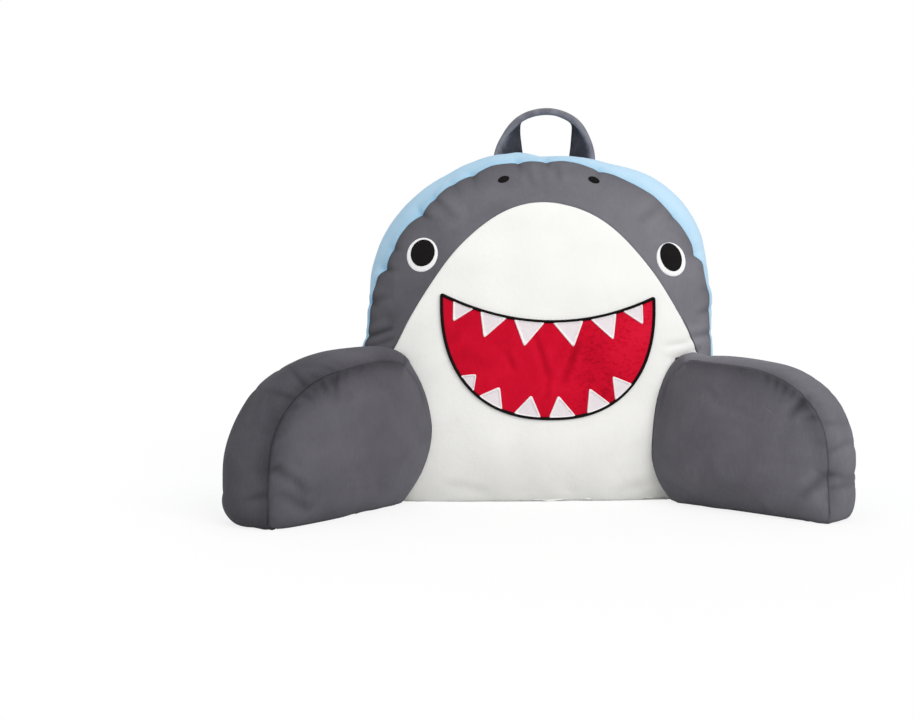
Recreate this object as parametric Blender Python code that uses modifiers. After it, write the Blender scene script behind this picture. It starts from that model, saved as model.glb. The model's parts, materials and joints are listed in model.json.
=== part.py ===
"""Plush shark backrest pillow: a stuffed body with two arms, a carry handle and a sewn-on shark face.

Run with: blender --background --python part.py
Units are metres and +Z is up. The pillow faces -Y and stands on the plane Z = 0, symmetric about X = 0.
"""

import math

import bpy
from mathutils import Vector

# Cloth, thread and clearances
CLOTH = 0.0020  # short-pile plush with its backing
GAP = 0.0004  # clearance between a piece and what lies under it
PATCH_GAP = 0.0008  # clearance under a patch sewn on the curved front
SEAM = 0.0008  # opening along a sewn seam between two panels
THREAD = 0.0010  # thickness of a sewn-on patch or of embroidery
SWING_CLEARANCE = 0.0006  # room between an arm's root and its seat in the body

# Body cushion, measured inside its cover
WIDEST_Z = 0.180  # level at which the body is widest
FRONT_HALF_WIDTH = 0.180  # at the front seam
FRONT_RISE = 0.179  # front seam's top above the widest level
FRONT_ROUND = 2.05  # roundness of the arch: 2 is an ellipse, more is squarer
CROWN_HALF_WIDTH = 0.191  # at the gusset's crown, halfway back
CROWN_RISE = 0.1925
CROWN_ROUND = 2.5
BACK_HALF_WIDTH = 0.183  # at the back seam
BACK_RISE = 0.181
BACK_ROUND = 2.2
FOOT_ROUND = 8.0  # roundness of the lower corners
FOOT_SINK = 0.004  # how much of the rounded bottom the floor flattens
BASE_DEPTH = 0.125  # front seam to back seam at the floor
FRONT_LEAN = 0.075  # how far the front leans back for each unit of height
FRONT_BULGE = 0.036
BACK_BULGE = 0.024
DOME_POWER = 2.2
DOME_EDGE = 0.70
FOOT_POWER = 5.0  # the front keeps its swell almost down to the floor
BASE_HALF_ANGLE = math.radians(36)  # the base panel's half width, seen from the widest level

# White belly panel: a parabola on the front
BELLY_TOP_Z = 0.314
BELLY_SPREAD = 0.14526  # half width of the panel at the body's widest level
BELLY_LIMIT = 0.90  # the hood keeps at least the rest of the way to the seam
HOOD_END = math.radians(-18)  # where the hood ends behind the arms, seen from the widest level

# Arms, measured inside their covers
ARM_AXIS_INSET = 0.0223  # the upright line about which an arm swings, in from the front seam's widest point
ARM_AXIS_DEPTH = -0.0145  # that line's place behind the body's front seam
ARM_SPLAY = math.radians(47)  # outward from straight ahead
ARM_LENGTH = 0.1735  # swing line to the front seams
ARM_SEAM_Z = 0.148  # top seams
ARM_NOSE_Z = 0.040  # where the upright front starts to round over
ARM_ROUND = 3.0
ARM_BAND_HALF = 0.027  # half width of the band between the two side panels
ARM_BAND_CROWN = 0.010
ARM_BULGE = 0.0135  # swell of each side panel
ARM_SWELL_EDGE = 0.6

# Handle strap
HANDLE_TOP_Z = 0.432
HANDLE_OUTER_HALF = 0.0566
HANDLE_INNER_HALF = 0.0265
HANDLE_THICKNESS = 0.005
HANDLE_GRIP_WIDTH = 0.030
HANDLE_GRIP_TILT = math.radians(14)  # front edge of the grip stands higher than the back edge
HANDLE_SEAT = 0.80  # share of the way from the front seam to the back seam

# Face
MOUTH_HALF_WIDTH = 0.1115
MOUTH_CORNER_Z = 0.216
MOUTH_SMILE = 0.0265  # sag of the upper lip below the corners
MOUTH_SIDE_Z = 0.210
MOUTH_DROP = 0.1206
MOUTH_ROUND = 2.35
LIP_WIDTH = 0.0042
# Each tooth on one side, from the middle outwards: its base's near and far x, then its tip's x and z
UPPER_TEETH = (
    (0.0039, 0.0360, 0.0253, 0.1647),
    (0.0432, 0.0700, 0.0664, 0.1733),
    (0.0783, 0.0975, 0.0960, 0.1900),
)
LOWER_TEETH = (
    (0.0048, 0.0316, 0.0134, 0.1118),
    (0.0444, 0.0680, 0.0459, 0.1197),
    (0.0736, 0.0902, 0.0704, 0.1325),
)
TOOTH_TIP = 0.0014  # half width of a tooth just short of its tip
TOOTH_END = 0.45  # how much of that width is left at the very end
EYE_INSET = 0.0487  # the eye's middle, in from the front seam's widest point
EYE_Z = 0.2578
EYE_HALF_WIDTH = 0.0163
EYE_HALF_HEIGHT = 0.0185
EYE_TILT = math.radians(20)
PUPIL_HALF_WIDTH = 0.0124
PUPIL_HALF_HEIGHT = 0.0144
PUPIL_LIFT = 0.0015  # the pupil sits above the eye's middle
NOSTRIL_X = 0.0478
NOSTRIL_Z = 0.339
NOSTRIL_HALF_WIDTH = 0.0063
NOSTRIL_HALF_HEIGHT = 0.0034
NOSTRIL_TILT = math.radians(20)

# Mesh steps
RAYS = 40
BELLY_ROWS = (0.25, 0.50, 0.72, 0.88, 1.0)
HOOD_ROWS = (0.36, 0.70, 1.0)
GUSSET_ROWS = (0.25, 0.50, 0.75)
BACK_ROWS = (1.0, 0.92, 0.78, 0.56, 0.30)
ARM_STATIONS = 10
ARM_LEVELS = (0.0, 0.10, 0.27, 0.50, 0.73, 0.90, 1.0)
ROOT_STEPS = 4  # in each quarter turn of an arm's root
BAND_ROWS = (1.0, 0.62, 0.22)
POCKET_STEPS = 32
STRAP_STEPS = 16
MOUTH_COLUMNS = 18
MOUTH_ROWS = 6
EYE_STEPS = 20
NOSTRIL_STEPS = 12
DISC_RINGS = (1.0, 0.55, 0.12)
TOOTH_ROWS = (0.0, 0.35, 0.70, 0.93, 1.0)
FOOT_TURNS = (math.radians(30), math.radians(60))  # of the round under each foot of the strap

COLOURS = {
    "white_plush": ((0.86, 0.86, 0.83), 0.90),
    "grey_plush": ((0.115, 0.115, 0.130), 0.90),
    "blue_plush": ((0.36, 0.66, 0.88), 0.90),
    "grey_webbing": ((0.10, 0.10, 0.115), 0.75),
    "red_plush": ((0.62, 0.004, 0.022), 0.90),
    "black_thread": ((0.010, 0.010, 0.011), 0.55),
    "white_thread": ((0.84, 0.82, 0.83), 0.55),
    "fibre_fill": ((0.88, 0.88, 0.86), 1.0),
}


# Scene helpers


def clear_scene():
    for obj in list(bpy.data.objects):
        bpy.data.objects.remove(obj)


def new_collection(name):
    collection = bpy.data.collections.new(name)
    bpy.context.scene.collection.children.link(collection)
    return collection


def new_material(name):
    colour, roughness = COLOURS[name]
    material = bpy.data.materials.new(name)
    material.use_nodes = True
    shader = material.node_tree.nodes["Principled BSDF"]
    shader.inputs["Base Color"].default_value = (*colour, 1.0)
    shader.inputs["Roughness"].default_value = roughness
    shader.inputs["Metallic"].default_value = 0.0
    return material


def new_empty(name, location, parent=None, turn=0.0):
    empty = bpy.data.objects.new(name, None)
    PARTS.objects.link(empty)
    empty.location = location
    empty.rotation_euler.z = turn
    empty.parent = parent
    return empty


def new_object(name, points, faces, material, parent):
    mesh = bpy.data.meshes.new(name)
    mesh.from_pydata([tuple(p) for p in points], [], faces)
    mesh.shade_smooth()
    obj = bpy.data.objects.new(name, mesh)
    PARTS.objects.link(obj)
    obj.data.materials.append(MATERIALS[material])
    obj.parent = parent
    return obj


def thicken(obj, thickness):
    """Makes a cloth panel of an open surface, standing on its outer side."""
    solidify = obj.modifiers.new("cloth", "SOLIDIFY")
    solidify.thickness = thickness
    solidify.offset = 1.0


def cut(obj, cutter):
    boolean = obj.modifiers.new("seat", "BOOLEAN")
    boolean.operation = "DIFFERENCE"
    boolean.object = cutter


# Lofts


def loft_faces(rows, columns, closed):
    """Quads between neighbouring rows of a grid of points, as (row, column, corner numbers)."""
    last = columns if closed else columns - 1
    for i in range(rows - 1):
        for j in range(last):
            k = (j + 1) % columns
            yield i, j, (i * columns + j, i * columns + k, (i + 1) * columns + k, (i + 1) * columns + j)


def grid_panel(name, rows, material, parent, thickness, closed=False):
    """One cloth or thread piece on the front, lofted through rows of points and facing -Y."""
    columns = len(rows[0])
    points = [Vector(p) for row in rows for p in row]
    faces = [corners for _, _, corners in loft_faces(len(rows), columns, closed)]
    normals = [(points[c] - points[a]).cross(points[d] - points[b]) for a, b, c, d in faces]
    if sum(normals, Vector()).y > 0:
        faces = [corners[::-1] for corners in faces]
    panel = new_object(name, points, faces, material, parent)
    thicken(panel, thickness)
    return panel


def seam_allowance(points, faces):
    """The panel's points, with those on its border drawn in by half a seam's opening."""
    uses = {}
    for corners in faces:
        for a, b in zip(corners, corners[1:] + corners[:1]):
            uses.setdefault(frozenset((a, b)), []).append(corners)
    border = {i for edge, owners in uses.items() if len(owners) == 1 for i in edge}
    drawn = list(points)
    for i in border:
        owners = [corners for corners in faces if i in corners]
        middles = [sum((points[j] for j in corners), Vector()) / len(corners) for corners in owners]
        inward = sum(middles, Vector()) / len(middles) - points[i]
        drawn[i] = points[i] + inward.normalized() * SEAM / 2
    return drawn


class Skin:
    """A cushion's closed surface, lofted ring by ring, whose faces are each marked with a panel's name."""

    def __init__(self):
        self.points = []
        self.faces = []
        self.panels = []

    def add_face(self, corners, panel):
        """Adds a triangle, or a quad split along its shorter diagonal: cover and stuffing then bend alike."""
        corners = tuple(corners)
        pieces = [corners]
        if len(corners) == 4:
            a, b, c, d = corners
            first = (self.points[a] - self.points[c]).length <= (self.points[b] - self.points[d]).length
            pieces = [(a, b, c), (a, c, d)] if first else [(a, b, d), (b, c, d)]
        self.faces += pieces
        self.panels += [panel] * len(pieces)

    def stuffing(self, name, parent):
        core = new_object(name, self.points, self.faces, "fibre_fill", parent)
        shrink = core.modifiers.new("clearance", "DISPLACE")
        shrink.mid_level = 0.0
        shrink.strength = -GAP
        return core

    def panel(self, label, name, material, parent):
        picked = [corners for corners, panel in zip(self.faces, self.panels) if panel == label]
        used = sorted({i for corners in picked for i in corners})
        place = {old: new for new, old in enumerate(used)}
        points = [self.points[i] for i in used]
        faces = [tuple(place[i] for i in corners) for corners in picked]
        cloth = new_object(name, seam_allowance(points, faces), faces, material, parent)
        thicken(cloth, CLOTH)
        return cloth


# Body shape


def gauge(x, z, half_width, rise, roundness):
    """Share of the way from the middle of the widest level to an arched outline."""
    up = z - WIDEST_Z
    reach, power = (rise, roundness) if up >= 0 else (WIDEST_Z + FOOT_SINK, FOOT_ROUND)
    return ((abs(x) / half_width) ** power + (abs(up) / reach) ** power) ** (1 / power)


def outline(angle, half_width, rise, roundness):
    """Point of an arched outline, as (x, z) from the middle of the widest level."""
    x, z = math.cos(angle), math.sin(angle)
    share = gauge(x, WIDEST_Z + z, half_width, rise, roundness)
    return x / share, z / share


def front_outline(angle):
    return outline(angle, FRONT_HALF_WIDTH, FRONT_RISE, FRONT_ROUND)


def on_floor(z):
    """Height of a cover's inner side: the floor flattens what would reach below it."""
    return max(z, CLOTH)


def dome(share, power=DOME_POWER):
    """Swell of a panel: 1 in its middle, falling to 0 at its edge."""
    return max(0.0, 1 - min(share, 1.0) ** power) ** DOME_EDGE


def front_swell(x, z):
    if z >= WIDEST_Z:
        return dome(gauge(x, z, FRONT_HALF_WIDTH, FRONT_RISE, FRONT_ROUND))
    down = (WIDEST_Z - z) / (WIDEST_Z + FOOT_SINK)
    half_width = FRONT_HALF_WIDTH * (1 - down ** FOOT_ROUND) ** (1 / FOOT_ROUND)
    return dome(abs(x) / half_width) * dome(down, FOOT_POWER)


def front_seam_y(z):
    return FRONT_Y + FRONT_LEAN * z


def front_y(x, z):
    """The front panels' inner side as a height over the XZ plane."""
    return front_seam_y(z) - FRONT_BULGE * front_swell(x, z)


def front_point(x, z, lift):
    """A point over the front, lift above the panels' inner side."""
    step = 0.0005
    slope_x = (front_y(x + step, z) - front_y(x - step, z)) / (2 * step)
    slope_z = (front_y(x, z + step) - front_y(x, z - step)) / (2 * step)
    return Vector((x, front_y(x, z), z)) + Vector((slope_x, -1.0, slope_z)).normalized() * lift


def belly_share(angle):
    """Share of the way to the front seam at which the belly panel ends."""
    x, z = front_outline(angle)
    drop = BELLY_TOP_Z - WIDEST_Z
    curve = drop * (x / BELLY_SPREAD) ** 2
    if curve < 1e-9:
        return drop / z if z > 0 else math.inf
    return (math.sqrt(z * z + 4 * curve * drop) - z) / (2 * curve)


def gusset_point(angle, share):
    """A point of the gusset, from the front seam at share 0 over the crown to the back seam at 1."""
    outlines = (
        front_outline(angle),
        outline(angle, CROWN_HALF_WIDTH, CROWN_RISE, CROWN_ROUND),
        outline(angle, BACK_HALF_WIDTH, BACK_RISE, BACK_ROUND),
    )
    weights = ((1 - share) * (1 - 2 * share), 4 * share * (1 - share), share * (2 * share - 1))
    x = sum(w * p[0] for w, p in zip(weights, outlines))
    z = on_floor(WIDEST_Z + sum(w * p[1] for w, p in zip(weights, outlines)))
    front = front_seam_y(on_floor(WIDEST_Z + outlines[0][1]))
    return Vector((x, front + share * (BACK_Y - front), z))


def body_skin():
    """Front pole, belly and hood rows, gusset rows, back rows and back pole."""
    skin = Skin()
    angles = [2 * math.pi * j / RAYS for j in range(RAYS)]
    rings = []
    for share in BELLY_ROWS:
        rings.append([front_ring_point(a, share * min(belly_share(a), BELLY_LIMIT)) for a in angles])
    for share in HOOD_ROWS:
        inner = [min(belly_share(a), BELLY_LIMIT) for a in angles]
        rings.append([front_ring_point(a, w + share * (1 - w)) for a, w in zip(angles, inner)])
    for share in GUSSET_ROWS:
        rings.append([gusset_point(a, share) for a in angles])
    for share in BACK_ROWS:
        rings.append([back_ring_point(a, share) for a in angles])
    skin.points = [p for ring in rings for p in ring]
    for i, j, corners in loft_faces(len(rings), RAYS, True):
        skin.add_face(corners[::-1], body_panel(i, angles[j] + math.pi / RAYS))
    front_pole = front_y(0.0, WIDEST_Z)
    back_pole = BACK_Y + BACK_BULGE
    for ring, y, panel in ((0, front_pole, "belly"), (len(rings) - 1, back_pole, "back")):
        pole = len(skin.points)
        skin.points.append(Vector((0.0, y, WIDEST_Z)))
        for j in range(RAYS):
            a, b = ring * RAYS + j, ring * RAYS + (j + 1) % RAYS
            skin.add_face((a, b, pole)[:: -1 if panel == "back" else 1], panel)
    return skin


def front_ring_point(angle, share):
    x, z = front_outline(angle)
    x, z = share * x, on_floor(WIDEST_Z + share * z)
    return Vector((x, front_y(x, z) if share < 1 else front_seam_y(z), z))


def back_ring_point(angle, share):
    x, z = outline(angle, BACK_HALF_WIDTH, BACK_RISE, BACK_ROUND)
    return Vector((share * x, BACK_Y + BACK_BULGE * dome(share), on_floor(WIDEST_Z + share * z)))


def body_panel(row, angle):
    """The panel that a face of the body belongs to."""
    seam_row = len(BELLY_ROWS) + len(HOOD_ROWS) - 1
    if row < len(BELLY_ROWS) - 1:
        return "belly"
    if row < seam_row:
        return "hood" if math.asin(math.sin(angle)) > HOOD_END else "belly"
    if row > seam_row + len(GUSSET_ROWS):
        return "back"
    down = abs(math.remainder(angle + math.pi / 2, 2 * math.pi))
    return "base" if down < BASE_HALF_ANGLE else "gusset"


# Arm shape, in the arm's own frame: it swings about the Z axis and points along -Y


def arm_station(turn):
    """A seam's place and normal in profile, from the top at a turn of 90 degrees to the front at 0."""
    c, s = math.cos(turn), math.sin(turn)
    rise = ARM_SEAM_Z - ARM_NOSE_Z
    share = ((c / ARM_LENGTH) ** ARM_ROUND + (s / rise) ** ARM_ROUND) ** (1 / ARM_ROUND)
    forward, up = c / share, s / share
    steep = (forward / ARM_LENGTH) ** (ARM_ROUND - 1) / ARM_LENGTH
    level = (up / rise) ** (ARM_ROUND - 1) / rise
    return forward, ARM_NOSE_Z + up, Vector((steep, level)).normalized()


def arm_half_thickness(forward, level):
    swell = (4 * level * (1 - level)) ** ARM_SWELL_EDGE if 0 < level < 1 else 0.0
    along = max(0.0, 1 - (forward / ARM_LENGTH) ** 2.5) ** ARM_SWELL_EDGE
    return ARM_BAND_HALF + ARM_BULGE * swell * along


def arm_columns():
    """Columns of half a ring, from the root's rearmost point by the +X side to the front's middle."""
    root = [("root", math.pi / 2 * i / ROOT_STEPS) for i in range(ROOT_STEPS)]
    sides = [("side", i / ARM_STATIONS) for i in range(ARM_STATIONS + 1)]
    front = [("front", share) for share in BAND_ROWS[1:]]
    return root + sides + front + [("front", 0.0)]


def arm_point(column, level, narrow):
    """A point on the +X half of an arm. Above the top seam, narrow draws the ring in over the crown."""
    kind, value = column
    crown = ARM_BAND_CROWN * (1 - narrow * narrow)
    if kind == "root":
        radius = arm_half_thickness(0.0, level) * narrow
        z = on_floor(ARM_SEAM_Z * level) + crown
        return Vector((radius * math.sin(value), radius * math.cos(value), z))
    lowest = (1 - narrow) * ARM_BAND_HALF / ARM_LENGTH
    turn = lowest
    if kind == "side":
        turn = math.pi / 2 - (math.pi / 2 - lowest) * value
    else:
        narrow *= value
        crown = ARM_BAND_CROWN * (1 - narrow * narrow)
    forward, top, normal = arm_station(turn)
    across = arm_half_thickness(forward, level) * narrow
    return Vector((across, -forward - crown * normal.x, on_floor(top * level) + crown * normal.y))


def arm_skin():
    """Rings from the base to the top seams and on over the band's crown, closed across the middle."""
    skin = Skin()
    half = arm_columns()
    steps = [(level, 1.0) for level in ARM_LEVELS] + [(1.0, narrow) for narrow in BAND_ROWS[1:]]
    count = 2 * len(half) - 2
    for level, narrow in steps:
        right = [arm_point(column, level, narrow) for column in half]
        left = [Vector((-p.x, p.y, p.z)) for p in right[-2:0:-1]]
        skin.points += right + left
    for i, j, corners in loft_faces(len(steps), count, True):
        skin.add_face(corners[::-1], arm_panel(i, j, half))
    for ring, panel in ((0, "base"), (len(steps) - 1, "band")):
        for j in range(count // 2):
            loop = [ring * count + k % count for k in (j, j + 1, count - j - 1, count - j)]
            loop = list(dict.fromkeys(loop))
            skin.add_face(loop if panel == "base" else loop[::-1], panel)
    return skin


def arm_panel(row, column, half):
    side_end = ROOT_STEPS + ARM_STATIONS
    if row >= len(ARM_LEVELS) - 1:
        return "band"
    count = 2 * len(half) - 2
    if min(column, count - 1 - column) >= side_end:
        return "band"
    return "plus_x" if column < count / 2 else "minus_x"


def arm_reach():
    """How far an arm's front reaches ahead of its swing line, cover included."""
    corner = ARM_LENGTH * math.cos(ARM_SPLAY) + ARM_BAND_HALF * math.sin(ARM_SPLAY)
    crown = (ARM_LENGTH + ARM_BAND_CROWN) * math.cos(ARM_SPLAY)
    return max(corner, crown) + CLOTH


def make_pocket(name, parent):
    """Cutter for an arm's seat in the body: the arm's root turned about its swing line, with room."""
    room = CLOTH + SWING_CLEARANCE
    profile = [(0.0, ARM_SEAM_Z + ARM_BAND_CROWN + room)]
    for narrow in reversed(BAND_ROWS):
        crown = ARM_BAND_CROWN * (1 - narrow * narrow)
        profile.append((ARM_BAND_HALF * narrow + room, ARM_SEAM_Z + crown + room))
    for level in reversed(ARM_LEVELS[:-1]):
        profile.append((arm_half_thickness(0.0, level) + room, ARM_SEAM_Z * level))
    profile += [(ARM_BAND_HALF + room, -room), (0.0, -room)]
    mesh = bpy.data.meshes.new(name)
    mesh.from_pydata([(r, 0.0, z) for r, z in profile], [(i, i + 1) for i in range(len(profile) - 1)], [])
    pocket = bpy.data.objects.new(name, mesh)
    CUTTERS.objects.link(pocket)
    pocket.parent = parent
    pocket.hide_render = True
    pocket.display_type = "WIRE"
    screw = pocket.modifiers.new("turn", "SCREW")
    screw.steps = screw.render_steps = POCKET_STEPS
    screw.use_merge_vertices = True
    screw.merge_threshold = 0.0001
    return pocket


# The pieces


def make_body(root, pockets):
    skin = body_skin()
    pieces = [
        skin.stuffing("body_stuffing", root),
        skin.panel("belly", "belly_panel", "white_plush", root),
        skin.panel("hood", "hood_panel", "grey_plush", root),
        skin.panel("gusset", "body_gusset", "blue_plush", root),
        skin.panel("base", "body_base", "blue_plush", root),
    ]
    for piece in pieces:
        for pocket in pockets:
            cut(piece, pocket)
    skin.panel("back", "back_panel", "blue_plush", root)


def make_arm(side, inner, outer, hinge):
    skin = arm_skin()
    skin.stuffing(f"{side}_arm_stuffing", hinge)
    skin.panel(inner, f"{side}_arm_inner_panel", "grey_plush", hinge)
    skin.panel(outer, f"{side}_arm_outer_panel", "grey_plush", hinge)
    skin.panel("band", f"{side}_arm_gusset", "grey_plush", hinge)
    skin.panel("base", f"{side}_arm_base", "grey_plush", hinge)


def strap_section(turn, half, rise):
    """The four corners of the strap at a turn along its arch, in the handle's own frame."""
    twist = math.sin(turn) ** 1.5
    side = -math.cos(turn)
    foot = HANDLE_OUTER_HALF - HANDLE_INNER_HALF
    grip = Vector((0.0, math.cos(HANDLE_GRIP_TILT), -math.sin(HANDLE_GRIP_TILT))) * HANDLE_GRIP_WIDTH
    outer = Vector((HANDLE_OUTER_HALF * side, -twist * grip.y / 2, rise * math.sin(turn)))
    across = grip * twist - Vector((math.copysign(foot * (1 - twist), side), 0.0, 0.0))
    along = Vector((math.sin(turn), 0.0, -side))
    face = along.cross(across).normalized() * half
    return [outer - face, outer + face, outer + across + face, outer + across - face]


def make_handle(hinge):
    """A strap whose feet face forward and whose grip lies flat: one loft of four-cornered sections."""
    half = HANDLE_THICKNESS / 2
    rise = HANDLE_TOP_Z - half - hinge.location.z
    sections = [strap_section(math.pi * i / STRAP_STEPS, half, rise) for i in range(STRAP_STEPS + 1)]
    first, last = sections[0], sections[-1]
    for turn in FOOT_TURNS:
        squeeze = Vector((1.0, math.cos(turn), 0.0))
        drop = Vector((0.0, 0.0, -half * math.sin(turn)))
        sections.insert(0, [p * squeeze + drop for p in first])
        sections.append([p * squeeze + drop for p in last])
    points = [p for section in sections for p in section]
    faces = [corners[::-1] for _, _, corners in loft_faces(len(sections), 4, True)]
    faces.append((0, 1, 2, 3))
    faces.append(tuple(len(points) - k for k in (1, 2, 3, 4)))
    return new_object("handle_strap", points, faces, "grey_webbing", hinge)


PATCH_LIFT = CLOTH + PATCH_GAP
TOP_LIFT = PATCH_LIFT + THREAD + GAP


def mouth_lower(turn):
    """Lower edge of the mouth from its left side, at 0, to its right side, at pi."""
    c, s = math.cos(turn), math.sin(turn)
    x = -math.copysign(abs(c) ** (2 / MOUTH_ROUND), c) * MOUTH_HALF_WIDTH
    return Vector((x, MOUTH_SIDE_Z - abs(s) ** (2 / MOUTH_ROUND) * MOUTH_DROP))


def mouth_upper(x):
    return Vector((x, MOUTH_CORNER_Z - MOUTH_SMILE * (1 - (x / MOUTH_HALF_WIDTH) ** 2)))


def inset(loop, distance):
    """A closed loop of (x, z) points drawn in by distance, or let out where it is negative."""
    moved = []
    for before, here, after in zip(loop[-1:] + loop[:-1], loop, loop[1:] + loop[:1]):
        a, b = (here - before).normalized(), (after - here).normalized()
        along = (a + b).normalized()
        side = Vector((-along.y, along.x))
        moved.append(here + side * distance / max(0.5, side.dot(Vector((-a.y, a.x)))))
    return moved


def mouth_loop(columns):
    """The middle of the lip line, counter-clockwise: along the lower edge, then back along the upper."""
    lower = [mouth_lower(math.pi * i / columns) for i in range(columns + 1)]
    upper = [mouth_upper(MOUTH_HALF_WIDTH * (1 - 2 * i / columns)) for i in range(columns + 1)]
    return lower + upper


def make_mouth(root):
    columns = MOUTH_COLUMNS
    loop = mouth_loop(columns)
    sides = (inset(loop, LIP_WIDTH / 2), inset(loop, -LIP_WIDTH / 2))
    rows = [[front_point(*p, PATCH_LIFT) for p in side] for side in sides]
    grid_panel("mouth_outline", rows, "black_thread", root, THREAD, closed=True)
    edge = inset(loop, LIP_WIDTH / 2 + SEAM)
    lower, upper = edge[: columns + 1], edge[: columns: -1]
    rows = []
    for i in range(MOUTH_ROWS + 1):
        row = [low.lerp(high, i / MOUTH_ROWS) for low, high in zip(lower, upper)]
        rows.append([front_point(*p, PATCH_LIFT) for p in row])
    grid_panel("mouth_patch", rows, "red_plush", root, THREAD)


def make_tooth(name, ends, tip, root):
    """A sewn triangle between two ends of its base on the lip and a rounded tip."""
    rows = []
    for share in TOOTH_ROWS:
        width = TOOTH_TIP * (1.0 if share < 1 else TOOTH_END)
        left = ends[0].lerp(tip - Vector((width, 0)), share)
        right = ends[1].lerp(tip + Vector((width, 0)), share)
        rows.append([front_point(*left.lerp(right, k / 2), TOP_LIFT) for k in range(3)])
    grid_panel(name, rows, "white_thread", root, THREAD)


def make_teeth(root):
    margin = LIP_WIDTH / 2 + 2 * SEAM
    for row, teeth in (("upper", UPPER_TEETH), ("lower", LOWER_TEETH)):
        for number, (near, far, tip_x, tip_z) in enumerate(teeth, 1):
            for side, sign in (("left", -1), ("right", 1)):
                ends = [lip_point(row, x, margin) for x in sorted((sign * near, sign * far))]
                make_tooth(f"{row}_tooth_{side}_{number}", ends, Vector((sign * tip_x, tip_z)), root)


def lip_point(row, x, margin):
    """The lip line's inner side at x, margin in from its middle."""
    if row == "upper":
        slope = 2 * MOUTH_SMILE * x / MOUTH_HALF_WIDTH ** 2
        return mouth_upper(x) - Vector((-slope, 1.0)).normalized() * margin
    turn = math.acos(-math.copysign((abs(x) / MOUTH_HALF_WIDTH) ** (MOUTH_ROUND / 2), x))
    step = 0.01
    along = (mouth_lower(turn + step) - mouth_lower(turn - step)).normalized()
    return mouth_lower(turn) + Vector((-along.y, along.x)) * margin


def make_disc(name, centre, half_width, half_height, tilt, lift, material, root, steps):
    """A flat oval sewn on the front: rings about its middle."""
    c, s = math.cos(tilt), math.sin(tilt)
    rows = []
    for share in DISC_RINGS:
        ring = []
        for i in range(steps):
            turn = 2 * math.pi * i / steps
            u, v = share * half_width * math.cos(turn), share * half_height * math.sin(turn)
            ring.append(front_point(centre[0] + u * c - v * s, centre[1] + u * s + v * c, lift))
        rows.append(ring)
    points = [p for ring in rows for p in ring]
    faces = [corners for _, _, corners in loft_faces(len(rows), steps, True)]
    faces.append(tuple(range(len(points) - steps, len(points))))
    disc = new_object(name, points, faces, material, root)
    thicken(disc, THREAD)
    return disc


def make_face(root):
    make_mouth(root)
    make_teeth(root)
    for side, sign in (("left", -1), ("right", 1)):
        eye_x = sign * (FRONT_HALF_WIDTH - EYE_INSET)
        eye, pupil = (eye_x, EYE_Z), (eye_x, EYE_Z + PUPIL_LIFT)
        make_disc(f"{side}_eye_white", eye, EYE_HALF_WIDTH, EYE_HALF_HEIGHT, sign * EYE_TILT,
                  PATCH_LIFT, "white_thread", root, EYE_STEPS)
        make_disc(f"{side}_eye_pupil", pupil, PUPIL_HALF_WIDTH, PUPIL_HALF_HEIGHT, sign * EYE_TILT,
                  TOP_LIFT, "black_thread", root, EYE_STEPS)
        make_disc(f"{side}_nostril", (sign * NOSTRIL_X, NOSTRIL_Z), NOSTRIL_HALF_WIDTH, NOSTRIL_HALF_HEIGHT,
                  -sign * NOSTRIL_TILT, PATCH_LIFT, "black_thread", root, NOSTRIL_STEPS)


def handle_seat():
    """The hinge line of the handle, its feet standing on the gusset's outer side."""
    inner_angle = math.acos(HANDLE_INNER_HALF / CROWN_RISE)
    seat = gusset_point(inner_angle, HANDLE_SEAT)
    return Vector((0.0, seat.y, seat.z + CLOTH + GAP + HANDLE_THICKNESS / 2))


clear_scene()
PARTS = new_collection("plush_shark_backrest")
CUTTERS = new_collection("cutters")
MATERIALS = {name: new_material(name) for name in COLOURS}

# The origin lies midway between the arms' fronts and the back.
FRONT_Y = (arm_reach() - ARM_AXIS_DEPTH - BASE_DEPTH - BACK_BULGE - CLOTH) / 2
BACK_Y = FRONT_Y + BASE_DEPTH

pillow = new_empty("pillow", (0, 0, 0))
arm_line = Vector((FRONT_HALF_WIDTH - ARM_AXIS_INSET, FRONT_Y + ARM_AXIS_DEPTH, 0.0))
left_hinge = new_empty("left_arm_hinge", (-arm_line.x, arm_line.y, 0), pillow, -ARM_SPLAY)
right_hinge = new_empty("right_arm_hinge", arm_line, pillow, ARM_SPLAY)
handle_hinge = new_empty("handle_hinge", handle_seat(), pillow)

make_body(pillow, [make_pocket("left_pocket", left_hinge), make_pocket("right_pocket", right_hinge)])
make_arm("left", "plus_x", "minus_x", left_hinge)
make_arm("right", "minus_x", "plus_x", right_hinge)
make_handle(handle_hinge)
make_face(pillow)
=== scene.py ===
"""Plush shark backrest pillow as photographed: stuffed body, two stuffed arms, carry handle and sewn-on face.

Units are metres and +Z is up. The pillow faces -Y and stands on the plane Z = 0.
"""

import json
import math

import bpy
import numpy as np
from mathutils import Matrix, Vector
from mathutils.bvhtree import BVHTree


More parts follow.
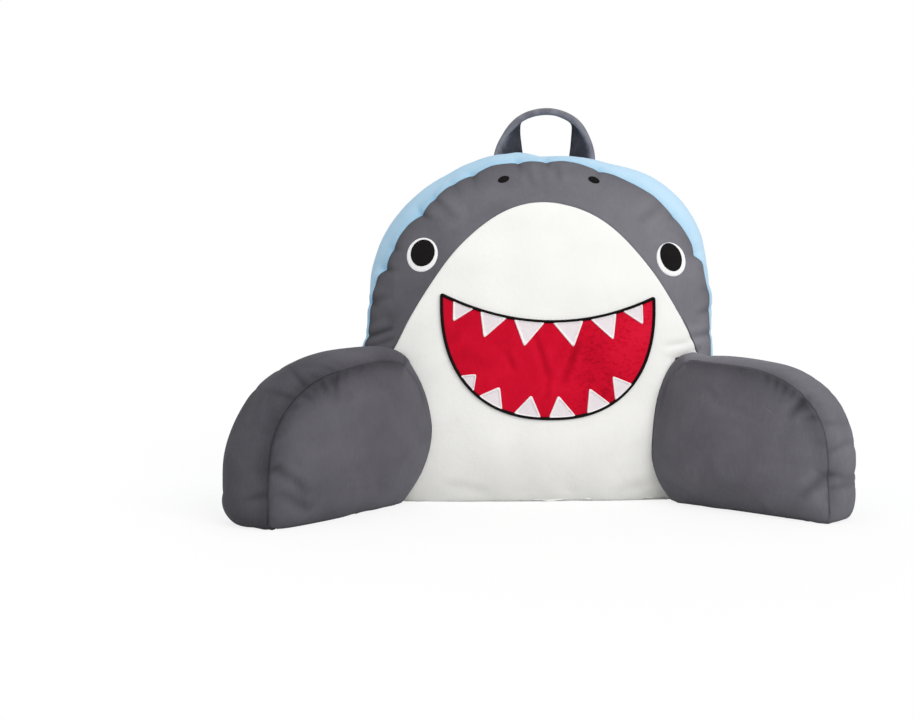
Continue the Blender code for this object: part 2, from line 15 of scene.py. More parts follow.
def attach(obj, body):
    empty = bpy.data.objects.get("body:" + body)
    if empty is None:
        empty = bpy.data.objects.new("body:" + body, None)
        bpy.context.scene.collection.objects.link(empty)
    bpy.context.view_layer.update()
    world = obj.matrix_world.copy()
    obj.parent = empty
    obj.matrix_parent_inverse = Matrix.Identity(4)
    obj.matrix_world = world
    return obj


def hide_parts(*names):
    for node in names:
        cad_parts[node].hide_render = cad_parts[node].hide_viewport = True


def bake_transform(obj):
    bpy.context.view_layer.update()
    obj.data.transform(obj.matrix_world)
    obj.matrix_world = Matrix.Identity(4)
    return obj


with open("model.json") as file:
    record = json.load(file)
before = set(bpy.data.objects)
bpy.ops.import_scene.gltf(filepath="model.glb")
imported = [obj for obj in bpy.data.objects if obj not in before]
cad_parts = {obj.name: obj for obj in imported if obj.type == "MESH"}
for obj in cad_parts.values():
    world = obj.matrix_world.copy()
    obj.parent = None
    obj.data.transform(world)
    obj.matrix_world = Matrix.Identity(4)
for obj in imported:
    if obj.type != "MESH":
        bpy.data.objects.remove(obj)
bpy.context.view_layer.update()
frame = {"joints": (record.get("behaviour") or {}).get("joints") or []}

TAU = 2 * math.pi

# Cloth and clearances, as in the part's source
CLOTH = 0.0020
SWING_CLEARANCE = 0.0006
FLOOR_TOUCH = 1e-6  # a point this close to the floor lies on it

# Body cushion, measured inside its cover
WIDEST_Z = 0.180
FRONT_HALF_WIDTH = 0.180
FRONT_RISE = 0.179
FRONT_ROUND = 2.05
CROWN_HALF_WIDTH = 0.191
CROWN_RISE = 0.1925
CROWN_ROUND = 2.5
BACK_HALF_WIDTH = 0.183
BACK_RISE = 0.181
BACK_ROUND = 2.2
FOOT_ROUND = 8.0
FOOT_SINK = 0.004
BASE_DEPTH = 0.125
FRONT_LEAN = 0.075
FRONT_BULGE = 0.036
BACK_BULGE = 0.024
DOME_POWER = 2.2
DOME_EDGE = 0.70
FOOT_POWER = 5.0
BASE_HALF_ANGLE = math.radians(36)
BELLY_TOP_Z = 0.315
BELLY_EDGE_SPREAD = 0.1495
BELLY_EDGE_POWER = 2.12
BELLY_LIMIT = 0.92
HOOD_END = math.radians(-18)

# Arms, measured inside their covers
ARM_AXIS_DEPTH = -0.0145
ARM_SPLAY = math.radians(47)
ARM_LENGTH = {"left": 0.1780, "right": 0.1710}
ARM_SEAM_Z = {"left": 0.1505, "right": 0.148}
ARM_NOSE_Z = 0.040
ARM_ROUND = {"left": 2.75, "right": 3.0}  # squareness of the top seam
ARM_BAND_HALF = 0.027
ARM_BAND_CROWN = 0.010
ARM_BULGE = 0.0135
ARM_SWELL_EDGE = 0.6
ARM_SWELL_POWER = 2.5

# Handle strap
HANDLE_TOP_Z = 0.4298
HANDLE_OUTER_HALF = 0.0566
HANDLE_INNER_HALF = 0.0262
HANDLE_INNER_SPREAD = 0.0080  # how much wider its window is at the top
HANDLE_INNER_SOFT = 0.008  # how far its corners are rounded
HANDLE_THICKNESS = 0.0055
HANDLE_GRIP_WIDTH = 0.030
HANDLE_GRIP_TILT = math.radians(-5.5)
HANDLE_LEAN = 0.0058  # how far the handle sits to the right
HANDLE_FLARE = 0.0040  # how far its left foot spreads

# Face
MOUTH_HALF_WIDTH = 0.1115
MOUTH_CORNER_Z = 0.216
MOUTH_SMILE = 0.0265
MOUTH_SIDE_Z = 0.210
MOUTH_DROP = 0.1206
MOUTH_ROUND = 2.35
LIP_WIDTH = 0.0034
LOWER_TEETH_SHIFT = -0.0045  # the lower teeth sit to the left of the mouth's middle
# Teeth from the middle outwards, as (near end and far end on the lip, x and z of the tip)
UPPER_TEETH = (
    (0.0032, 0.0366, 0.0258, 0.1628),
    (0.0424, 0.0712, 0.0676, 0.1710),
    (0.0768, 0.0992, 0.0996, 0.1874),
)
LOWER_TEETH = (
    (0.0036, 0.0330, 0.0138, 0.1138),
    (0.0436, 0.0690, 0.0462, 0.1216),
    (0.0734, 0.0900, 0.0704, 0.1342),
)
EYE_X = 0.1325
EYE_Z = 0.2578
EYE_HALF = (0.0163, 0.0185)
EYE_TILT = math.radians(20)
PUPIL_HALF = {"left": (0.0126, 0.0146), "right": (0.0119, 0.0156)}
PUPIL_SHIFT = {"left": (0.0008, 0.0017), "right": (0.0006, 0.0021)}  # towards the middle and up
NOSTRIL_X = 0.0486
NOSTRIL_Z = 0.3414
NOSTRIL_HALF = (0.0063, 0.0034)
NOSTRIL_TILT = math.radians(20)
FACE_SHIFT = 0.0016  # the face sits a little to the right of the middle
FACE_TILT = -0.0165  # and its right side a little lower
NOSTRIL_SHIFT = 0.0039

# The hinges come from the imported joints.
HINGES = {joint["name"]: Vector(joint["pos_m"]) for joint in frame["joints"]}
ARM_HINGE = {side: HINGES[f"{side}_arm_swing"] for side in ("left", "right")}
HANDLE_HINGE = HINGES["handle_flop"]
FRONT_Y = ARM_HINGE["left"].y - ARM_AXIS_DEPTH
BACK_Y = FRONT_Y + BASE_DEPTH


# Small helpers


def smooth_step(t):
    t = np.clip(t, 0.0, 1.0)
    return t * t * (3 - 2 * t)


def step_from(value, start, length):
    """Rises smoothly from 0 at a start to 1 a length further on."""
    return smooth_step((value - start) / length)


def new_object(name, points, faces):
    mesh = bpy.data.meshes.new(name)
    mesh.from_pydata([tuple(map(float, p)) for p in points], [], [tuple(map(int, f)) for f in faces])
    mesh.shade_smooth()
    obj = bpy.data.objects.new(name, mesh)
    bpy.context.scene.collection.objects.link(obj)
    return obj


def apply_modifiers(obj):
    """Bakes the object's modifiers into its mesh."""
    graph = bpy.context.evaluated_depsgraph_get()
    mesh = bpy.data.meshes.new_from_object(obj.evaluated_get(graph))
    old = obj.data
    obj.modifiers.clear()
    obj.data = mesh
    bpy.data.meshes.remove(old)
    mesh.name = obj.name


def set_tone(obj, tones):
    """Stores each point's tone for the materials to read: painted light and shade, and the raised edge of a
    sewn piece.
    """
    layer = obj.data.attributes.new("tone", "FLOAT", "POINT")
    layer.data.foreach_set("value", np.asarray(tones, np.float32))


def thicken(obj, thickness):
    """Gives a sheet its thickness, on its inner side."""
    solidify = obj.modifiers.new("cloth", "SOLIDIFY")
    solidify.thickness = thickness
    solidify.offset = -1.0


def ring_faces(a, b, count):
    """Quads between two rings of points whose first numbers are a and b."""
    pairs = [(k, (k + 1) % count) for k in range(count)]
    return [(a + k, a + m, b + m, b + k) for k, m in pairs]


def vertex_normals(points, quads):
    a, b, c, d = (points[quads[:, k]] for k in range(4))
    face = np.cross(c - a, d - b)
    normals = np.zeros_like(points)
    for k in range(4):
        np.add.at(normals, quads[:, k], face)
    return normals / np.maximum(np.linalg.norm(normals, axis=1, keepdims=True), 1e-12)


def resample(points, count, corners=()):
    """A closed line's points at even steps, or even between corners: (share of points, share of length)."""
    closed = np.vstack([points, points[:1]])
    steps = np.linalg.norm(np.diff(closed[:, :2], axis=0), axis=1)
    along = np.concatenate([[0], np.cumsum(steps)])
    stops = np.array([(0.0, 0.0), *corners, (1.0, 1.0)])
    at = along[-1] * np.interp(np.arange(count) / count, *stops.T)
    return np.stack([np.interp(at, along, closed[:, k]) for k in range(closed.shape[1])], axis=1)


def softened(line, corner, dense, count, corners=()):
    """A closed line with its corners rounded over about a distance, resampled."""
    line = resample(line, dense)
    step = np.linalg.norm(line[1, :2] - line[0, :2])
    reach = np.arange(-int(3 * corner / step) - 1, int(3 * corner / step) + 2)
    kernel = np.exp(-((reach * step / corner) ** 2) / 2)
    kernel /= kernel.sum()
    return resample(sum(w * np.roll(line, -r, axis=0) for r, w in zip(reach, kernel)), count, corners)


# Skins: two patches filled with a grid, joined by rings


def fill_loop(loop):
    """Grid of points inside a closed loop of 4 n points, carried across from side to side."""
    n = len(loop) // 4
    bottom, right, top = loop[: n + 1], loop[n : 2 * n + 1], loop[2 * n : 3 * n + 1][::-1]
    left = np.vstack([loop[3 * n :], loop[:1]])[::-1]
    u = np.linspace(0, 1, n + 1)[None, :, None]
    v = np.linspace(0, 1, n + 1)[:, None, None]
    corners = (1 - u) * (1 - v) * loop[0] + u * (1 - v) * loop[n]
    corners = corners + u * v * loop[2 * n] + (1 - u) * v * loop[3 * n]
    return (1 - v) * bottom[None] + v * top[None] + (1 - u) * left[:, None] + u * right[:, None] - corners


def patch_numbers(loop, first):
    """Point numbers of a filled loop's grid: its border is the loop, and inner points count from first."""
    n = len(loop) // 4
    grid = np.zeros((n + 1, n + 1), int)
    grid[0, :] = loop[: n + 1]
    grid[:, n] = loop[n : 2 * n + 1]
    grid[n, ::-1] = loop[2 * n : 3 * n + 1]
    grid[::-1, 0] = np.append(loop[3 * n :], loop[0])
    grid[1:n, 1:n] = first + np.arange((n - 1) ** 2).reshape(n - 1, n - 1)
    return grid


def skin_grids(rows, count, start):
    """Point numbers of the rings, and of the front's and the back's grids."""
    n = count // 4
    rings = np.arange(rows * count).reshape(rows, count)
    first = rows * count
    front = patch_numbers(np.roll(rings[0], -start), first)
    back = patch_numbers(np.roll(rings[-1], -start), first + (n - 1) ** 2)
    return rings, front, back


def cells(grid):
    return np.stack([grid[:-1, :-1], grid[:-1, 1:], grid[1:, 1:], grid[1:, :-1]], axis=2).reshape(-1, 4)


def skin_quads(rows, count, start):
    rings, front, back = skin_grids(rows, count, start)
    around = cells(np.hstack([rings, rings[:, :1]]))[:, [0, 3, 2, 1]]
    return np.vstack([around, cells(front), cells(back)[:, ::-1]])


class Skin:
    """A cushion's closed surface, with a mark for each face. Its rings stay as columns across the seams."""

    def __init__(self, rings, marks, start, front, back):
        self.rows, self.count, self.start = len(rings), len(rings[0]), start
        points = [np.vstack(rings)]
        for ring, place in ((rings[0], front), (rings[-1], back)):
            points.append(place(fill_loop(np.roll(ring, -start, axis=0)))[1:-1, 1:-1].reshape(-1, 3))
        self.points = np.vstack(points)
        self.quads = skin_quads(self.rows, self.count, start)
        cell_count = (self.count // 4) ** 2
        ends = [np.full(cell_count, marks[0][0]), np.full(cell_count, marks[-1][0])]
        self.marks = np.concatenate([*marks, *ends])

    def rings(self):
        return self.points[: self.rows * self.count].reshape(self.rows, self.count, 3)

    def normals(self):
        return vertex_normals(self.points, self.quads)

    def offset(self, distance):
        """The points moved along their normals by one distance, or one for each point."""
        return self.points + self.normals() * np.reshape(distance, (-1, 1))

    def grounded(self):
        """Which points lie on the floor."""
        return self.points[:, 2] < CLOTH + FLOOR_TOUCH

    def on_rows(self, rows):
        """1 at the points of some rings and 0 at the others."""
        share = np.zeros(len(self.points))
        share[: self.rows * self.count].reshape(self.rows, self.count)[rows] = 1.0
        return share

    def thinned(self):
        """Every second point each way: their numbers in this skin, and their quads."""
        rings, front, back = skin_grids(self.rows, self.count, self.start)
        numbers = [rings[::2, ::2].ravel(), front[2:-2:2, 2:-2:2].ravel(), back[2:-2:2, 2:-2:2].ravel()]
        quads = skin_quads((self.rows + 1) // 2, self.count // 2, self.start // 2)
        return np.concatenate(numbers), quads


# Body shape


def outline(angle, half_width, rise, roundness):
    """Point of an arched outline, as (x, z) from the middle of the widest level."""
    across, up = np.cos(angle), np.sin(angle)
    reach = np.where(up >= 0, rise, WIDEST_Z + FOOT_SINK)
    power = np.where(up >= 0, roundness, FOOT_ROUND)
    share = ((np.abs(across) / half_width) ** power + (np.abs(up) / reach) ** power) ** (1 / power)
    return across / share, up / share


def gauge(x, z, half_width, rise, roundness):
    up = z - WIDEST_Z
    reach = np.where(up >= 0, rise, WIDEST_Z + FOOT_SINK)
    power = np.where(up >= 0, roundness, FOOT_ROUND)
    return ((np.abs(x) / half_width) ** power + (np.abs(up) / reach) ** power) ** (1 / power)


def on_floor(z):
    return np.maximum(z, CLOTH)


def dome(share, power=DOME_POWER):
    return np.maximum(0.0, 1 - np.minimum(share, 1.0) ** power) ** DOME_EDGE


def front_y(x, z):
    """The front's inner side as a height over the XZ plane."""
    rho = gauge(x, z, FRONT_HALF_WIDTH, FRONT_RISE, FRONT_ROUND)
    down = np.clip((WIDEST_Z - z) / (WIDEST_Z + FOOT_SINK), 0.0, 1.0)
    half_width = FRONT_HALF_WIDTH * (1 - down ** FOOT_ROUND) ** (1 / FOOT_ROUND)
    swell = np.where(z >= WIDEST_Z, dome(rho), dome(np.abs(x) / half_width) * dome(down, FOOT_POWER))
    return FRONT_Y + FRONT_LEAN * z - FRONT_BULGE * swell


HALVINGS = 40


def belly_share(angle):
    """Share of the way to the front seam at which the belly panel ends, found by halving."""
    x, z = outline(angle, FRONT_HALF_WIDTH, FRONT_RISE, FRONT_ROUND)
    drop = BELLY_TOP_Z - WIDEST_Z
    low, high = np.zeros_like(x), np.full_like(x, BELLY_LIMIT)
    for _ in range(HALVINGS):
        share = (low + high) / 2
        inside = share * z + drop * (share * np.abs(x) / BELLY_EDGE_SPREAD) ** BELLY_EDGE_POWER < drop
        low, high = np.where(inside, share, low), np.where(inside, high, share)
    return (low + high) / 2


def front_ring(angle, share):
    x, z = outline(angle, FRONT_HALF_WIDTH, FRONT_RISE, FRONT_ROUND)
    x, z = share * x, on_floor(WIDEST_Z + share * z)
    y = np.where(np.asarray(share) < 1, front_y(x, z), FRONT_Y + FRONT_LEAN * z)
    return np.stack([x, y, z], axis=-1)


def gusset_ring(angle, share):
    """A ring of the gusset, from the front seam at share 0 over the crown to the back seam at 1."""
    outlines = (
        outline(angle, FRONT_HALF_WIDTH, FRONT_RISE, FRONT_ROUND),
        outline(angle, CROWN_HALF_WIDTH, CROWN_RISE, CROWN_ROUND),
        outline(angle, BACK_HALF_WIDTH, BACK_RISE, BACK_ROUND),
    )
    weights = ((1 - share) * (1 - 2 * share), 4 * share * (1 - share), share * (2 * share - 1))
    x = sum(w * p[0] for w, p in zip(weights, outlines))
    z = on_floor(WIDEST_Z + sum(w * p[1] for w, p in zip(weights, outlines)))
    front = FRONT_Y + FRONT_LEAN * on_floor(WIDEST_Z + outlines[0][1])
    return np.stack([x, front + share * (BACK_Y - front), z], axis=-1)


def back_ring(angle, share):
    x, z = outline(angle, BACK_HALF_WIDTH, BACK_RISE, BACK_ROUND)
    y = np.full_like(x, BACK_Y + BACK_BULGE * float(dome(share)))
    return np.stack([share * x, y, on_floor(WIDEST_Z + share * z)], axis=-1)


def front_patch(grid):
    x, z = grid[..., 0], grid[..., 2]
    return np.stack([x, front_y(x, z), z], axis=-1)


def back_patch(grid):
    x, z = grid[..., 0], grid[..., 2]
    rho = gauge(x, z, BACK_HALF_WIDTH, BACK_RISE, BACK_ROUND)
    return np.stack([x, BACK_Y + BACK_BULGE * dome(rho), z], axis=-1)


def graded(count, first=False, last=False, pull=0.75):
    """Shares from 0 to 1, closer together at the ends that lie on a seam."""
    t = np.linspace(0, 1, count + 1)
    if first and last:
        eased = 0.5 - 0.5 * np.cos(np.pi * t)
    elif last:
        eased = np.sin(np.pi / 2 * t)
    elif first:
        eased = 1 - np.cos(np.pi / 2 * t)
    else:
        eased = t
    return (1 - pull) * t + pull * eased


RAYS = 384
INNER = 0.60  # share of a panel that its inner grid covers
BELLY_ROWS = INNER + (1 - INNER) * graded(16, last=True)
HOOD_ROWS = graded(18, first=True, last=True)[1:]
GUSSET_ROWS = graded(36, first=True, last=True)[1:]
BACK_ROWS = 1 - (1 - INNER) * graded(16, first=True)[1:]
BELLY_SEAM = len(BELLY_ROWS) - 1
FRONT_SEAM = BELLY_SEAM + len(HOOD_ROWS)
BACK_SEAM = FRONT_SEAM + len(GUSSET_ROWS)


def body_marks(angle):
    """The panel of each face between two rings, for each row of faces."""
    middle = angle + math.pi / RAYS
    hood = np.where(np.arcsin(np.sin(middle)) > HOOD_END, "hood", "belly")
    down = np.abs((middle + math.pi / 2 + math.pi) % TAU - math.pi)
    gusset = np.where(down < BASE_HALF_ANGLE, "base", "gusset")
    plain = {"belly": np.full(RAYS, "belly"), "back": np.full(RAYS, "back")}
    rows = [plain["belly"]] * BELLY_SEAM + [hood] * (FRONT_SEAM - BELLY_SEAM)
    return rows + [gusset] * (BACK_SEAM - FRONT_SEAM) + [plain["back"]] * len(BACK_ROWS)


def body_skin():
    angle = TAU * np.arange(RAYS) / RAYS
    edge = belly_share(angle)
    rings = [front_ring(angle, share * edge) for share in BELLY_ROWS]
    rings += [front_ring(angle, edge + share * (1 - edge)) for share in HOOD_ROWS]
    rings += [gusset_ring(angle, share) for share in GUSSET_ROWS]
    rings += [back_ring(angle, share) for share in BACK_ROWS]
    return Skin(rings, body_marks(angle), RAYS // 8, front_patch, back_patch)


# Arm shape, in the arm's own frame: it swings about the Z axis and points along -Y

ARM_LOOP = 264
ARM_ROWS = INNER + (1 - INNER) * graded(14, last=True)
ARM_BAND_ROWS = np.linspace(math.pi / 2, -math.pi / 2, 25)[1:-1]
ARM_CORNER = 0.0055  # how far the corners of an arm's profile are rounded
PROFILE_STEP = 0.0005


def root_dip(side, forward):
    """How far the top seam falls towards the arm's root."""
    return ROOT_DIP[side] * np.clip(1 - forward / ROOT_DIP_REACH, 0.0, 1.0) ** 2


def arm_top(side, forward):
    """Height of the top seam over a point of the arm's length."""
    rise = ARM_SEAM_Z[side] - ARM_NOSE_Z
    share = np.clip(forward / ARM_LENGTH[side], 0.0, 1.0)
    top = ARM_NOSE_Z + rise * (1 - share ** ARM_ROUND[side]) ** (1 / ARM_ROUND[side])
    return top - root_dip(side, forward)


def arm_half_thickness(side, forward, z):
    level = np.clip(z / arm_top(side, forward), 0.0, 1.0)
    swell = (4 * level * (1 - level)) ** ARM_SWELL_EDGE
    along = (1 - np.clip(forward / ARM_LENGTH[side], 0.0, 1.0) ** ARM_SWELL_POWER) ** ARM_SWELL_EDGE
    return ARM_BAND_HALF + ARM_BULGE * swell * along


def arm_loop(side):
    """The arm's profile from the root's foot up, over the top and front, and back along the base.

    Each point is (forward, z, crown of the band, share of root).
    """
    def run(start, end, crown, root):
        count = max(2, int(np.hypot(*(np.array(end) - start)) / PROFILE_STEP))
        line = np.linspace(start, end, count, endpoint=False)
        return np.hstack([line, np.full((count, 1), crown), np.full((count, 1), root)])

    turn = np.linspace(math.pi / 2, 0, 600)
    rise = ARM_SEAM_Z[side] - ARM_NOSE_Z
    power, length = ARM_ROUND[side], ARM_LENGTH[side]
    root_top = float(arm_top(side, 0.0))
    reach = ((np.cos(turn) / length) ** power + (np.sin(turn) / rise) ** power) ** (-1 / power)
    top = np.stack([reach * np.cos(turn), ARM_NOSE_Z + reach * np.sin(turn)], axis=1)
    top[:, 1] -= root_dip(side, top[:, 0])
    top = np.hstack([top, np.full((len(top), 1), ARM_BAND_CROWN), np.zeros((len(top), 1))])
    dense = np.vstack([
        run((0, 0), (0, root_top), 0, 1),
        top,
        run((length, ARM_NOSE_Z), (length, 0), ARM_BAND_CROWN, 0),
        run((length, 0), (0, 0), 0, 0),
    ])
    total = np.linalg.norm(np.diff(np.vstack([dense, dense[:1]])[:, :2], axis=0), axis=1).sum()
    corners = ((0.25, root_top / total), (0.75, 1 - length / total))
    return softened(dense, ARM_CORNER, dense=1200, count=ARM_LOOP, corners=corners)


# How the stuffed arms in the photograph differ from the plain shape
ROOT_REACH = 0.165  # length over which an arm rounds off towards its root
ROOT_SHORTER = 0.45  # share of that length that is lost high up
ROOT_SHOULDER = (0.10, 0.05)  # level at which that starts, and height over which it does
ROOT_FADE = 1.6  # how fast the arm takes its root's shape
ROOT_MIDDLE = {"left": 0.080, "right": 0.056}  # level at which the root is widest
ROOT_RADIUS = {"left": 0.0362, "right": 0.0462}
ROOT_TOP = {"left": 0.154, "right": 0.156}  # level at which the root ends
ROOT_ROUND = {"left": (1.55, 5.1), "right": (2.1, 7.5)}  # how the root narrows above and below its middle
ROOT_LEAST = 0.004
ROOT_DIP = {"left": 0.006, "right": 0.0}
ROOT_DIP_REACH = 0.05
INNER_FULLER = {"left": 0.0, "right": 0.003}  # at the inner panel's rear
REAR_SWELL = (0.03, 0.09)  # length over which that grows, and length over which it then dies out
OUTER_FULLER = {"left": (0.0125, 0.0015), "right": (0.0, 0.0)}  # at the outer panel's front, low and high
OUTER_RISE = (0.03, 0.08)  # level at which the low one starts to give way, and height over which it does
OUTER_TUCK = {"left": 0.020, "right": 0.014}  # how far that front's foot is tucked in
TUCK_HEIGHT = 0.024
NOSE_TUCK = 0.85  # share of the band's crown that is lost at its foot
TIP_FULLER = {"left": 0.009, "right": 0.0}  # at the inner panel's front
BAND_CROWN = {"left": 0.0135, "right": 0.0035}
NOSE_FULLER = {"left": 0.002, "right": 0.0035}  # on the band down the front
TIP_BEND = {"left": 0.0, "right": 0.008}  # how far the tip leans inwards


def root_radius(side, z):
    """Radius of an arm's root, which is round about its hinge line."""
    above = z - ROOT_MIDDLE[side]
    power, below = ROOT_ROUND[side]
    share = np.clip(above / (ROOT_TOP[side] - ROOT_MIDDLE[side]), 0.0, 1.0)
    radius = ROOT_RADIUS[side] * (1 - share ** power) ** (1 / power) - below * np.minimum(above, 0.0) ** 2
    return np.maximum(radius, ROOT_LEAST)


def arm_half(side, forward, z):
    reach = ROOT_REACH * (1 - ROOT_SHORTER * step_from(z, *ROOT_SHOULDER))
    near = (1 - np.clip(forward / reach, 0.0, 1.0)) ** ROOT_FADE
    plain = arm_half_thickness(side, forward, z)
    return plain + (root_radius(side, z) - plain) * near


def arm_reach(side, forward, z, inward):
    """Distance from the arm's middle plane to its cover on the inner side (inward 1) or the outer (-1)."""
    level = np.clip(z / arm_top(side, forward), 0.0, 1.0)
    grown, died = REAR_SWELL
    rear = smooth_step(forward / grown) * (1 - step_from(forward, grown, died)) * 4 * level * (1 - level)
    tip = smooth_step(forward / ARM_LENGTH[side])
    share = 0.5 + 0.5 * inward
    inner = INNER_FULLER[side] * rear + TIP_FULLER[side] * tip
    low, high = OUTER_FULLER[side]
    outer = low + (high - low) * step_from(z, *OUTER_RISE)
    outer = outer - OUTER_TUCK[side] * np.clip(1 - z / TUCK_HEIGHT, 0.0, 1.0) ** 2
    fuller = inner * share + outer * tip * (1 - share)
    return arm_half(side, forward, z) + fuller


def arm_skin(side):
    loop = arm_loop(side)
    forward, z, crown, root = loop.T
    tangent = np.roll(loop[:, :2], -1, axis=0) - np.roll(loop[:, :2], 1, axis=0)
    tangent /= np.linalg.norm(tangent, axis=1, keepdims=True)
    normal = np.stack([-tangent[:, 1], tangent[:, 0]], axis=1)
    middle = loop[:, :2].mean(axis=0)
    inward = 1 if side == "left" else -1
    crown = crown * BAND_CROWN[side] / ARM_BAND_CROWN
    fuller = NOSE_FULLER[side] * smooth_step(forward / ARM_LENGTH[side])
    crown = crown + fuller * (crown > 0.5 * BAND_CROWN[side])
    flat_foot = 1 - NOSE_TUCK * np.clip(1 - z / TUCK_HEIGHT, 0.0, 1.0) ** 2

    def bend(f):
        return inward * TIP_BEND[side] * np.clip(f / ARM_LENGTH[side], 0.0, None) ** 2

    def panel(f, h, sign):
        return np.stack([sign * arm_reach(side, f, h, sign * inward) + bend(f), -f, on_floor(h)], axis=-1)

    def ring(share, sign):
        f, h = (middle + share * (loop[:, :2] - middle)).T
        return panel(f, h, sign)

    def patch(sign):
        return lambda grid: panel(-grid[..., 1], grid[..., 2], sign)

    rings = [ring(share, 1) for share in ARM_ROWS]
    for turn in ARM_BAND_ROWS:
        half = arm_reach(side, forward, z, math.sin(turn) * inward)
        lift = crown * flat_foot * math.cos(turn) ** 2 + root * half * math.cos(turn)
        f, h = forward + normal[:, 0] * lift, z + normal[:, 1] * lift
        rings.append(np.stack([half * math.sin(turn) + bend(forward), -f, on_floor(h)], axis=-1))
    rings += [ring(share, -1) for share in ARM_ROWS[::-1]]
    base = (z < 0.5 * ARM_NOSE_Z) & (crown < 0.5 * BAND_CROWN[side]) & (root < 0.5)
    band = np.where(base, "base", "band")
    rows, half = len(ARM_ROWS) - 1, (len(ARM_BAND_ROWS) + 1) // 2
    marks = [np.full(ARM_LOOP, "plus_x")] * rows + [np.where(root > 0.5, "plus_x", band)] * half
    marks += [np.where(root > 0.5, "minus_x", band)] * half + [np.full(ARM_LOOP, "minus_x")] * rows
    return Skin(rings, marks, 0, patch(1), patch(-1))


# Seams, puckers and folds

SEAM_WIDTH = 0.0050  # how far from a seam the cloth starts to roll in
SEAM_DEPTH = 0.0020
CREASE_SHADE_DEPTH = 0.0030  # depth of a crease at which its painted shade is darkest
CREASE_SHADE_AND_HIGHLIGHT = (-1.0, 0.5)  # painted shade deep in a crease and painted highlight on its raised sides
CREASE_SIDES = (0.4, 1.9, 1.1)  # how high those are for its depth, and their place and width in half widths
# Painted shade beside a seam, and the distance over which it fades
SEAM_SHADE = 0.35
SEAM_SHADE_WIDTH = 0.010


def seam_roll(distance, width=SEAM_WIDTH, depth=SEAM_DEPTH):
    """How deep the cloth rolls in at a distance from its seam."""
    t = np.clip(np.abs(distance) / width, 0.0, 1.0)
    return depth * (1 - np.sqrt(1 - (1 - t) ** 2))


def fold(along, distance, place, depth, half_width, length, slant=0.0):
    """A crease that starts on a seam and dies out: how deep it is at each point."""
    across = (along - place - slant * distance) / half_width
    return depth * np.exp(-across ** 2) * (1 - smooth_step(distance / length))


def ripple(points, height, length, seed, waves=9):
    """Soft uneven swell all over a cushion: a sum of waves in seeded directions."""
    draw = np.random.default_rng(seed)
    total = np.zeros(len(points))
    for _ in range(waves):
        direction = draw.normal(size=3)
        direction *= TAU / (length * draw.uniform(0.7, 1.6)) / np.linalg.norm(direction)
        total += np.sin(points @ direction + draw.uniform(0, TAU))
    return height * total / math.sqrt(waves)


def crease(places, start, end, depth, half_width):
    """How deep a crease between two places of a flat map is, with the cloth raised beside it."""
    start, end = np.array(start), np.array(end)
    way = end - start
    t = (places - start) @ way / (way @ way)
    apart = np.linalg.norm(places - start - np.clip(t, 0, 1)[:, None] * way, axis=1) / half_width
    taper = np.sqrt(np.clip(4 * t * (1 - t), 0.0, 1.0))
    height, place, width = CREASE_SIDES
    return depth * taper * (np.exp(-apart ** 2) - height * np.exp(-((apart - place) / width) ** 2))


def column_distance(rings, row):
    """Distance along each column from one ring, negative on the rows before it."""
    steps = np.linalg.norm(np.diff(rings, axis=0), axis=2)
    along = np.vstack([np.zeros((1, rings.shape[1])), np.cumsum(steps, axis=0)])
    return along - along[row]


# How far the hood's edge stands out past the plain seam, as (degrees from the right-hand side, millimetres)
EDGE_REACH = (
    (-90, 0), (-40, -1), (-1, -2.5), (7, -1.5), (13, 1.5), (16, 0.5), (20, 2.8), (23.2, 5.6), (26.4, -0.8),
    (30, 2.8), (36, 4), (43, 4.2), (51, 6), (58, 5.4), (66, 4), (71, 1.2), (79, 3.4), (84, 3.6), (89.5, 1.4),
    (95, 3.6), (99, 2.8), (108, 5.5), (114.5, 2.6), (119, 4), (125, 5), (133, 2.4), (137, -0.6), (142, 3.4),
    (147, 4.2), (152, 2.6), (156, 2.9), (159.3, 1.0), (162, 7.4), (165.5, 6.8), (169, 8), (178, 7.6),
    (181, 8.4), (183, 10), (185, 13), (187, 16), (190, 17.5), (195, 16.5), (203, 12), (213, 6), (225, 2),
    (270, 0),
)
EDGE_FADE = (0.015, 0.020)  # how far the stretch of the edge reaches into the hood and into the gusset
# Creases at the front edge and at the back edge, in degrees
NOTCHES = (14, 26.4, 41, 71, 89.5, 99, 114.5, 122, 130, 137, 152, 159.3, 171)
BACK_NOTCHES = (-38, -22, -4, 9, 21, 36, 52, 63, 77, 94, 108, 126, 139, 155, 168, 183, 199, 216)
NOTCH_FOLD = (0.0013, 0.0034)  # depth and half width of the crease at a notch
NOTCH_DEEPER = (0.6, 1.4)  # least and most share of that depth
NOTCH_LENGTH = (0.012, 0.030)
BACK_NOTCH_LENGTH = (0.014, 0.040)
BACK_NOTCH_WIDER = 1.2
NOTCH_SLANT = 0.35
NOTCH_SEED = 11
# How far the gusset's crown stands out past its plain shape, in the same way
CROWN_REACH = (
    (-90, 0), (22, 0), (25, 2), (30, 4.9), (37, 5.6), (43, 6.4), (48, 5.2), (52, 3.5), (60, 1), (70, 0),
    (86, 0), (91, -1.6), (95, 2.5), (99, 5), (104, 5), (108, 3), (113, 0.5), (116, 0), (122, -2.4),
    (128, -3.4), (133, -3), (138, -1.4), (144, 0), (153, 2), (160, 1.2), (170, 0), (270, 0),
)
DRAWN_IN = 0.0065  # how far the gusset's right side is drawn in above the arm
DRAWN_ANGLE = math.radians(24)

